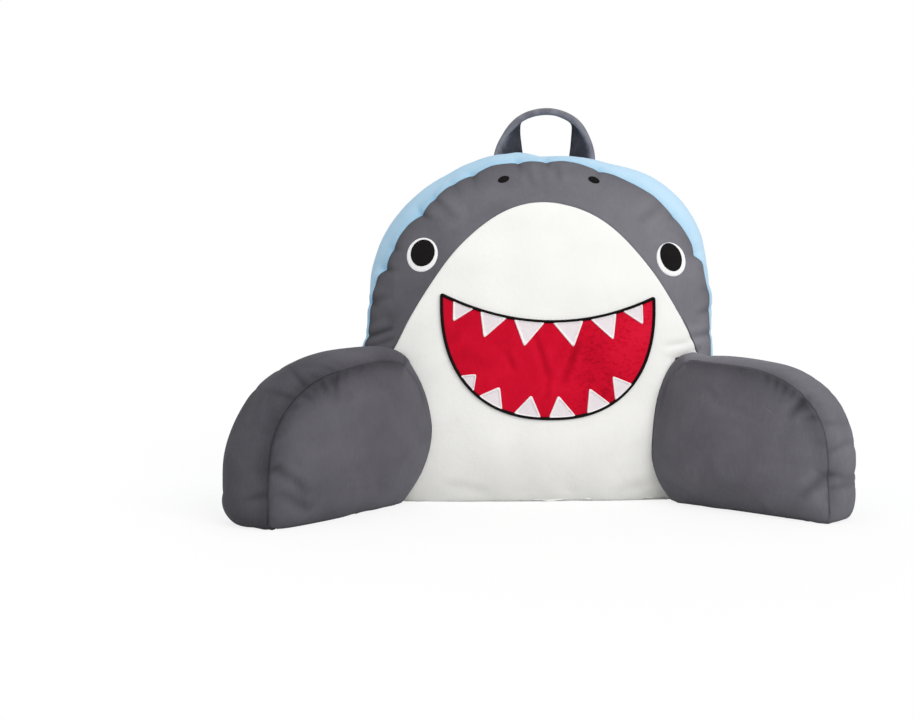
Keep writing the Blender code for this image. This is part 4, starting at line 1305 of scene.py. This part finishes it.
def applique(name, loop, profile, base, edge=2.0):
    """A sewn patch: rings drawn in from a loop at (share of the way out, height) over a base height.

    Its tone is 1 on the rings whose share is at least edge.
    """
    loop = np.asarray(loop)
    middle = loop.mean(axis=0)
    rows = [(share, base + height) for share, height in profile]
    rows += [(share, base - SINK) for share, _ in reversed(profile)]
    points, faces = [], []
    for share, height in rows:
        for x, z in middle + share * (loop - middle):
            points.append(face_point(x, z, height))
    count = len(loop)
    for i in range(len(rows) - 1):
        if i != len(profile) - 1:
            faces += ring_faces(i * count, (i + 1) * count, count)
    faces += ring_faces((len(rows) - 1) * count, 0, count)
    for row, flip in ((len(profile) - 1, 1), (len(profile), -1)):
        centre = len(points)
        points.append(face_point(*middle, rows[row][1]))
        for k in range(count):
            tri = (row * count + k, row * count + (k + 1) % count, centre)
            faces.append(tri[::flip])
    obj = new_object(name, points, faces)
    tones = np.zeros(len(points))
    tones[: count * sum(share >= edge for share, _ in profile)] = 1.0
    set_tone(obj, tones)
    return obj


def oval(centre, half, tilt, count):
    turn = TAU * np.arange(count) / count
    u, v = half[0] * np.cos(turn), half[1] * np.sin(turn)
    c, s = math.cos(tilt), math.sin(tilt)
    return np.stack([centre[0] + u * c - v * s, centre[1] + u * s + v * c], axis=1)


def tooth_loop(row, near, far, tip, sign):
    """A tooth's outline: along the lip, then by a rounded tip back to it."""
    shift = 0.0 if row == "upper" else sign * LOWER_TEETH_SHIFT
    far_shift = OUTER_TOOTH_SHIFT * shift if far > OUTER_TOOTH_X else shift
    base = np.linspace(near + shift, far + far_shift, 24)
    tip = (tip[0] + shift, tip[1])
    if row == "upper":
        edge = mouth_upper(sign * base)
    else:
        share = np.sign(base) * (np.abs(base) / MOUTH_HALF_WIDTH) ** (MOUTH_ROUND / 2)
        turn = np.arccos(-sign * share)
        edge = mouth_lower(turn)
    point = np.array([sign * tip[0], tip[1]])
    away, home = np.linspace(edge[-1], point, 40)[1:], np.linspace(point, edge[0], 40)[1:-1]
    line = np.vstack([edge, away, home])
    area = np.sum(line[:, 0] * np.roll(line[:, 1], -1) - np.roll(line[:, 0], -1) * line[:, 1])
    if area < 0:
        line = line[::-1]
    return softened(line, TOOTH_ROUND, dense=360, count=96)


PATCH_TOP = 0.0011
LIP_HEIGHT = 0.0034
# Height of a sewn piece over its foot, as (share of the way out, metres)
TOOTH_PROFILE = (
    (1.0, 0.0002), (0.985, 0.0008), (0.95, 0.0012), (0.90, 0.0014), (0.84, 0.0013), (0.79, 0.0008),
    (0.76, 0.0005), (0.60, 0.0005), (0.30, 0.0005),
)
TOOTH_EDGE = 0.79  # share of the way out at which a tooth's raised edge begins
OVAL_PROFILE = (
    (1.0, 0.0002), (0.985, 0.0006), (0.95, 0.0009), (0.88, 0.0011), (0.70, 0.0012), (0.35, 0.0013),
)
EYE_TOP = 0.0010

# Creases of the mouth's patch, as (start, end, depth, half width) with places in (x, z)
MOUTH_CREASES = (
    ((-0.016, 0.182), (0.002, 0.128), 0.0009, 0.0034),
    ((0.001, 0.132), (-0.003, 0.108), 0.0007, 0.0030),
    ((0.032, 0.170), (0.015, 0.126), 0.0010, 0.0036),
    ((-0.045, 0.160), (-0.034, 0.136), 0.0006, 0.0034),
)
MOUTH_CREASE_SHADE_DEPTH = 0.0014  # crease depth at which its painted shade is darkest
MOUTH_HIGHLIGHT = 0.9  # how much lighter the painted highlight makes the mouth's right corner
MOUTH_HIGHLIGHT_X = (0.05, 0.05)  # where that starts across, and the distance over which it does
MOUTH_HIGHLIGHT_Z = (0.12, 0.06)  # and upwards
MOUTH_GRID = (150, 60)
LIP_STITCHES = 1300
LIP_CORNER = 0.0012  # how far the lip's corners are rounded
LIP_THREAD = 0.06  # how far its threads ripple it, as a share of its height


def make_mouth():
    columns, rows = MOUTH_GRID
    lower = mouth_lower(np.linspace(0, math.pi, columns + 1))
    upper = mouth_upper(np.linspace(-MOUTH_HALF_WIDTH, MOUTH_HALF_WIDTH, columns + 1))
    places = np.concatenate([lower + (upper - lower) * i / rows for i in range(rows + 1)])
    dip = sum(crease(places, *mark) for mark in MOUTH_CREASES)
    points = [face_point(x, z, PATCH_TOP - d) for (x, z), d in zip(places, dip)]
    faces = []
    for i in range(rows):
        for j in range(columns):
            a, b = i * (columns + 1) + j, (i + 1) * (columns + 1) + j
            faces.append((a, a + 1, b + 1, b))
    patch = new_object("mouth_red_patch", points, faces)
    # Painted shade in the creases, painted highlight on their sides and at the right corner
    bright = MOUTH_HIGHLIGHT * step_from(places[:, 0], *MOUTH_HIGHLIGHT_X) * step_from(places[:, 1], *MOUTH_HIGHLIGHT_Z)
    set_tone(patch, np.clip(-dip / MOUTH_CREASE_SHADE_DEPTH, *CREASE_SHADE_AND_HIGHLIGHT) + bright)
    thicken(patch, PATCH_TOP + SINK)
    apply_modifiers(patch)
    lip = mouth_loop(LIP_STITCHES, LIP_CORNER)
    line = satin_line("mouth_satin_line", lip, LIP_WIDTH, LIP_HEIGHT, LIP_THREAD)
    return patch, line


def make_face():
    pieces = {}
    pieces["mouth_patch"], pieces["mouth_outline"] = make_mouth()
    for row, teeth in (("upper", UPPER_TEETH), ("lower", LOWER_TEETH)):
        for number, (near, far, tip_x, tip_z) in enumerate(teeth, 1):
            for side, sign in (("left", -1), ("right", 1)):
                loop = tooth_loop(row, near, far, (tip_x, tip_z), sign)
                name = f"{row}_{side}_tooth_{number}_stitch"
                tooth = applique(name, loop, TOOTH_PROFILE, PATCH_TOP, TOOTH_EDGE)
                pieces[f"{row}_tooth_{side}_{number}"] = tooth
    for side, sign in (("left", -1), ("right", 1)):
        x = sign * EYE_X
        white = oval((x, EYE_Z), EYE_HALF, sign * EYE_TILT, count=96)
        aside, up = PUPIL_SHIFT[side]
        pupil = oval((x - sign * aside, EYE_Z + up), PUPIL_HALF[side], sign * EYE_TILT, count=96)
        nose_x = sign * NOSTRIL_X + NOSTRIL_SHIFT - FACE_SHIFT
        nose_z = NOSTRIL_Z - FACE_TILT * nose_x
        nostril = oval((nose_x, nose_z), NOSTRIL_HALF, -sign * NOSTRIL_TILT, count=48)
        pieces[f"{side}_eye_white"] = applique(f"{side}_eye_white_stitch", white, OVAL_PROFILE, 0.0)
        pieces[f"{side}_eye_pupil"] = applique(f"{side}_eye_pupil_stitch", pupil, OVAL_PROFILE, EYE_TOP)
        pieces[f"{side}_nostril"] = applique(f"{side}_nostril_stitch", nostril, OVAL_PROFILE, 0.0)
    return pieces


# Materials


def linear(*rgb):
    """An sRGB colour, 0 to 255, as a shader takes it."""
    shares = [c / 255 for c in rgb]
    return tuple((v / 12.92 if v <= 0.04045 else ((v + 0.055) / 1.055) ** 2.4) for v in shares) + (1.0,)


class Shader:
    """A Principled material whose colour and bump come from noise in the piece's own metres."""

    def __init__(self, name, roughness, sheen=0.0, sheen_roughness=0.4, sheen_tint=None, specular=0.3):
        self.material = bpy.data.materials.new(name)
        self.material.use_nodes = True
        self.nodes = self.material.node_tree.nodes
        self.links = self.material.node_tree.links
        self.bsdf = self.nodes["Principled BSDF"]
        self.bsdf.inputs["Roughness"].default_value = roughness
        self.bsdf.inputs["Specular IOR Level"].default_value = specular
        self.bsdf.inputs["Sheen Weight"].default_value = sheen
        self.bsdf.inputs["Sheen Roughness"].default_value = sheen_roughness
        if sheen_tint:
            self.bsdf.inputs["Sheen Tint"].default_value = linear(*sheen_tint)
        self.place = self.nodes.new("ShaderNodeTexCoord").outputs["Object"]
        self.normal = None

    def feed(self, socket, value):
        """Sets a socket, or links it to the socket that the value is."""
        if hasattr(value, "is_linked"):
            self.links.new(value, socket)
        else:
            socket.default_value = value

    def add(self, kind, **inputs):
        node = self.nodes.new(kind)
        for key, value in inputs.items():
            self.feed(node.inputs[key.replace("_", " ")], value)
        return node

    def tone(self):
        """The tone stored with the piece's points: painted light and shade, and the raised edge of a sewn
        piece.
        """
        node = self.nodes.new("ShaderNodeAttribute")
        node.attribute_name = "tone"
        return node.outputs["Fac"]

    def stretched(self, scale, turn=(0.0, 0.0, 0.0)):
        """The place, turned and stretched before a texture reads it."""
        node = self.add("ShaderNodeMapping", Vector=self.place, Scale=scale, Rotation=turn)
        return node.outputs["Vector"]

    def noise(self, size, detail=2.0, roughness=0.5, distortion=0.0, place=None):
        """Noise whose blots are about size metres across."""
        node = self.add(
            "ShaderNodeTexNoise",
            Vector=place or self.place,
            Scale=1 / size,
            Detail=detail,
            Roughness=roughness,
            Distortion=distortion,
        )
        return node.outputs["Fac"]

    def math(self, operation, a, b):
        node = self.nodes.new("ShaderNodeMath")
        node.operation = operation
        for socket, value in zip(node.inputs, (a, b)):
            self.feed(socket, value)
        return node.outputs[0]

    def ramp(self, factor, *stops):
        node = self.nodes.new("ShaderNodeValToRGB")
        self.links.new(factor, node.inputs[0])
        elements = node.color_ramp.elements
        while len(elements) < len(stops):
            elements.new(1.0)
        for element, (position, colour) in zip(elements, stops):
            element.position = position
            element.color = linear(*colour)
        return node.outputs["Color"]

    def colour(self, socket):
        self.links.new(socket, self.bsdf.inputs["Base Color"])

    def bump(self, height, distance, strength=1.0):
        node = self.add("ShaderNodeBump", Height=height, Distance=distance, Strength=strength)
        if self.normal:
            self.links.new(self.normal, node.inputs["Normal"])
        self.normal = node.outputs["Normal"]
        self.links.new(self.normal, self.bsdf.inputs["Normal"])


def dashed(shader, size, start, end, depth):
    """Short level dashes in the pile that show more and more between two places across."""
    noise = shader.noise(size, detail=1.0, place=shader.stretched((0.6, 1.0, 1.0)))
    across = shader.add("ShaderNodeSeparateXYZ", Vector=shader.place).outputs["X"]
    spots = shader.nodes.new("ShaderNodeMapRange")
    spread = shader.nodes.new("ShaderNodeMapRange")
    for node, value, low, high in ((spots, noise, 0.50, 0.64), (spread, across, start, end)):
        shader.links.new(value, node.inputs["Value"])
        node.inputs["From Min"].default_value = low
        node.inputs["From Max"].default_value = high
    shown = shader.math("MULTIPLY", spots.outputs["Result"], spread.outputs["Result"])
    return shader.math("MULTIPLY", shown, depth)


PLUSH_STOPS = (0.0, 0.2, 0.5, 0.8, 1.0)
SATIN_STOPS = (0.10, 0.40, 0.70)
MOTTLE = 0.0026  # size of the blots in the plush
TUFT = 0.0060  # size of its soft lumps
FIBRE = 0.0009
PILE_DEPTH = 0.0005
THREADS = 330.0  # how closely the threads of a satin stitch lie
THREAD_DEPTH = 0.0003


def plush(name, colours, sheen, tint, patch=0.045, contrast=0.35, dashes=None):
    """Short-pile plush: brushed patches, a finer mottle, painted shade in creases and painted light and shade
    from the tone, and a fibrous surface.
    """
    shader = Shader(name, roughness=0.92, sheen=sheen, sheen_roughness=0.38, sheen_tint=tint, specular=0.08)
    brushed = shader.noise(patch, distortion=0.6)
    mottle = shader.noise(MOTTLE, detail=3.0, roughness=0.6, place=shader.stretched((1.0, 1.0, 0.3)))
    mixed = shader.math("ADD", shader.math("MULTIPLY", brushed, 0.7), shader.math("MULTIPLY", mottle, 0.3))
    mixed = shader.math("MULTIPLY", shader.math("SUBTRACT", mixed, 0.5), contrast)
    # Painted light and shade from the tone
    mixed = shader.math("ADD", mixed, shader.math("MULTIPLY", shader.tone(), 0.3))
    mixed = shader.math("ADD", mixed, 0.5)
    if dashes:
        mixed = shader.math("SUBTRACT", mixed, dashed(shader, *dashes))
    shader.colour(shader.ramp(mixed, *zip(PLUSH_STOPS, colours)))
    shader.bump(shader.noise(TUFT), PILE_DEPTH, strength=0.35)
    shader.bump(shader.noise(FIBRE, roughness=0.6), PILE_DEPTH, strength=0.6)
    return shader.material


def satin(name, colours, turn, sheen=0.15, gloss=0.20):
    """Rows of satin stitch: fine parallel threads with a soft gloss. The colours are dark, light and edge."""
    shader = Shader(name, roughness=0.60, sheen=sheen, sheen_roughness=0.3, specular=gloss)
    lines = shader.add(
        "ShaderNodeTexWave",
        Vector=shader.stretched((1.0, 1.0, 1.0), turn),
        Scale=THREADS,
        Distortion=1.2,
        Detail=1.0,
        Detail_Scale=0.6,
    )
    uneven = shader.noise(0.004)
    thread = lines.outputs["Fac"]
    mixed = shader.math("ADD", shader.math("MULTIPLY", thread, 0.25), shader.math("MULTIPLY", uneven, 0.25))
    mixed = shader.math("ADD", mixed, shader.math("MULTIPLY", shader.tone(), 0.5))
    shader.colour(shader.ramp(mixed, *zip(SATIN_STOPS, colours)))
    shader.bump(thread, THREAD_DEPTH, strength=0.7)
    return shader.material


def fibre_fill(name):
    shader = Shader(name, roughness=0.98, sheen=0.2, sheen_roughness=0.6, specular=0.05)
    tufts = shader.noise(0.018, detail=5.0, roughness=0.7, distortion=1.5)
    shader.colour(shader.ramp(tufts, (0.3, (222, 221, 214)), (0.7, (244, 243, 238))))
    shader.bump(tufts, 0.004, strength=0.8)
    return shader.material


# Colours in sRGB, from the darkest, for painted shade deep in a crease, to the lightest, for painted
# highlight on the pile
GREY = plush(
    "grey_plush",
    ((48, 47, 51), (68, 67, 72), (99, 98, 104), (130, 129, 136), (148, 147, 154)),
    sheen=0.08,
    tint=(190, 190, 205),
)
WHITE = plush(
    "white_plush",
    ((190, 188, 180), (214, 213, 207), (241, 241, 238), (246, 246, 244), (248, 248, 246)),
    sheen=0.05,
    tint=(255, 255, 255),
    contrast=0.2,
)
BLUE = plush(
    "blue_plush",
    ((112, 160, 192), (150, 193, 220), (189, 220, 241), (204, 230, 246), (212, 235, 248)),
    sheen=0.08,
    tint=(235, 245, 255),
    patch=0.050,
    contrast=0.3,
)
RED = plush(
    "red_plush",
    ((128, 2, 20), (160, 4, 28), (201, 11, 42), (216, 24, 54), (224, 34, 64)),
    sheen=0.08,
    tint=(255, 120, 130),
    patch=0.035,
    contrast=0.6,
    dashes=(0.0031, 0.0, 0.055, 0.17),
)
STRAP = plush(
    "strap_plush",
    ((30, 30, 35), (44, 44, 50), (64, 65, 73), (112, 112, 120), (132, 132, 140)),
    sheen=0.15,
    tint=(200, 200, 215),
    patch=0.014,
    contrast=0.9,
)
BLACK = satin(
    "black_satin",
    ((12, 10, 10), (26, 23, 23), (26, 23, 23)),
    (0.0, 0.0, 0.0),
    sheen=0.0,
    gloss=0.06,
)
TOOTH = satin(
    "tooth_satin",
    ((231, 221, 225), (243, 236, 239), (250, 248, 249)),
    (0.0, math.pi / 2, 0.0),
    sheen=0.1,
    gloss=0.15,
)
EYE_WHITE = satin(
    "eye_white_satin",
    ((244, 243, 245), (254, 254, 254), (254, 254, 254)),
    (0.0, math.pi / 4, 0.0),
)


def dress(obj, material, body, node):
    obj.data.materials.clear()
    obj.data.materials.append(material)
    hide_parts(node)
    if body:
        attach(obj, body)


handle = make_handle()
face = make_face()

FILL = fibre_fill("fibre_fill")
# Pieces of the body, as (label, material, slot, node), and panels of an arm, as (label, node)
BODY_PIECES = (
    ("fill", FILL, "stuffing", "body_stuffing"),
    ("belly", WHITE, "belly", "belly_panel"),
    ("hood", GREY, "hood", "hood_panel"),
    ("gusset", BLUE, "blue_cover", "body_gusset"),
    ("base", BLUE, "blue_cover", "body_base"),
    ("back", BLUE, "blue_cover", "back_panel"),
)
ARM_PANELS = (("inner", "inner_panel"), ("outer", "outer_panel"), ("band", "gusset"), ("base", "base"))

for label, material, slot, node in BODY_PIECES:
    dress(body_pieces[label], material, "body", node)
for side in ("left", "right"):
    dress(arm_pieces[side]["fill"], FILL, f"{side}_arm", f"{side}_arm_stuffing")
    for label, node in ARM_PANELS:
        dress(arm_pieces[side][label], GREY, f"{side}_arm", f"{side}_arm_{node}")
for node, obj in face.items():
    if "tooth" in node:
        dress(obj, TOOTH, "body", node)
    elif "white" in node:
        dress(obj, EYE_WHITE, "body", node)
    elif node == "mouth_patch":
        dress(obj, RED, "body", node)
    else:
        dress(obj, BLACK, "body", node)
dress(handle, STRAP, None, "handle_strap")
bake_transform(handle)

# Floor, light and camera

FLOOR_GLOW = 0.68  # share of the floor's white that no shadow dims
FLOOR_BRIGHT = 1.15
FLOOR_HALF = 30
FLOOR_GREY = (0.66, 0.66, 0.66, 1.0)  # as the light that falls on the pillow meets it
FLOOR_SEEN = (0.74, 0.74, 0.74, 1.0)  # as the camera sees it
WHITE_LIGHT = (1.0, 1.0, 1.0, 1.0)
WORLD_LIGHT = 0.64


def background_rays(nodes, links):
    """A factor of 1 for the rays that show the background: seen straight, mirrored or through glass."""
    rays = nodes.new("ShaderNodeLightPath")
    shown = rays.outputs["Is Camera Ray"]
    for name in ("Is Glossy Ray", "Is Transmission Ray"):
        either = nodes.new("ShaderNodeMath")
        either.operation = "MAXIMUM"
        links.new(shown, either.inputs[0])
        links.new(rays.outputs[name], either.inputs[1])
        shown = either.outputs[0]
    return shown


def make_floor():
    """A white floor that keeps part of the shadow."""
    corners = [(FLOOR_HALF * x, FLOOR_HALF * y, 0) for x, y in ((-1, -1), (1, -1), (1, 1), (-1, 1))]
    obj = new_object("floor", corners, [(0, 1, 2, 3)])
    material = bpy.data.materials.new("white_floor")
    material.use_nodes = True
    nodes, links = material.node_tree.nodes, material.node_tree.links
    bsdf, out = nodes["Principled BSDF"], nodes["Material Output"]
    bsdf.inputs["Base Color"].default_value = FLOOR_GREY
    bsdf.inputs["Roughness"].default_value = 1.0
    bsdf.inputs["Specular IOR Level"].default_value = 0.0
    glow = nodes.new("ShaderNodeEmission")
    glow.inputs["Strength"].default_value = FLOOR_BRIGHT
    part, seen = nodes.new("ShaderNodeMixShader"), nodes.new("ShaderNodeMixShader")
    part.inputs[0].default_value = FLOOR_GLOW
    bright = nodes.new("ShaderNodeBsdfDiffuse")
    bright.inputs["Color"].default_value = FLOOR_SEEN
    links.new(bright.outputs[0], part.inputs[1])
    links.new(glow.outputs[0], part.inputs[2])
    links.new(background_rays(nodes, links), seen.inputs[0])
    links.new(bsdf.outputs[0], seen.inputs[1])
    links.new(part.outputs[0], seen.inputs[2])
    links.new(seen.outputs[0], out.inputs["Surface"])
    obj.data.materials.append(material)


def make_sun(name, place, strength, angle):
    """A sun that shines from a place towards the origin."""
    data = bpy.data.lights.new(name, "SUN")
    data.energy = strength
    data.angle = math.radians(angle)
    lamp = bpy.data.objects.new(name, data)
    lamp.location = place
    lamp.rotation_euler = Vector(place).to_track_quat("Z", "Y").to_euler()
    bpy.context.scene.collection.objects.link(lamp)


def make_world():
    world = bpy.data.worlds.new("studio")
    bpy.context.scene.world = world
    world.use_nodes = True
    nodes, links = world.node_tree.nodes, world.node_tree.links
    nodes.clear()
    soft, seen = nodes.new("ShaderNodeBackground"), nodes.new("ShaderNodeBackground")
    for node, strength in ((soft, WORLD_LIGHT), (seen, 1.0)):
        node.inputs["Color"].default_value = WHITE_LIGHT
        node.inputs["Strength"].default_value = strength
    mix, out = nodes.new("ShaderNodeMixShader"), nodes.new("ShaderNodeOutputWorld")
    links.new(background_rays(nodes, links), mix.inputs[0])
    links.new(soft.outputs[0], mix.inputs[1])
    links.new(seen.outputs[0], mix.inputs[2])
    links.new(mix.outputs[0], out.inputs["Surface"])


VIEW_AZIMUTH = math.radians(-3)
VIEW_DISTANCE = 1.286
VIEW_HEIGHT = 0.209
PHOTO_WIDTH, PHOTO_HEIGHT = 914, 720
FOCAL_PIXELS = 1212
VIEW_CENTRE = (546, 303)  # the pixel that the level camera looks at


def make_camera():
    data = bpy.data.cameras.new("camera")
    data.sensor_fit = "HORIZONTAL"
    data.sensor_width = 36.0
    data.lens = FOCAL_PIXELS / PHOTO_WIDTH * data.sensor_width
    data.shift_x = (PHOTO_WIDTH / 2 - VIEW_CENTRE[0]) / PHOTO_WIDTH
    data.shift_y = (VIEW_CENTRE[1] - PHOTO_HEIGHT / 2) / PHOTO_WIDTH
    camera = bpy.data.objects.new("camera", data)
    aside, ahead = VIEW_DISTANCE * math.sin(VIEW_AZIMUTH), VIEW_DISTANCE * math.cos(VIEW_AZIMUTH)
    camera.location = (aside, -ahead, VIEW_HEIGHT)
    camera.rotation_euler = (math.pi / 2, 0.0, VIEW_AZIMUTH)
    bpy.context.scene.collection.objects.link(camera)
    bpy.context.scene.camera = camera


make_floor()
make_world()
make_sun("key", (0.50, -0.72, 0.48), strength=1.55, angle=38)
make_sun("fill", (-0.55, -0.80, 0.22), strength=0.35, angle=60)
make_sun("back", (-0.20, 0.95, 0.15), strength=0.70, angle=60)
make_camera()
bpy.context.scene.view_settings.view_transform = "Standard"
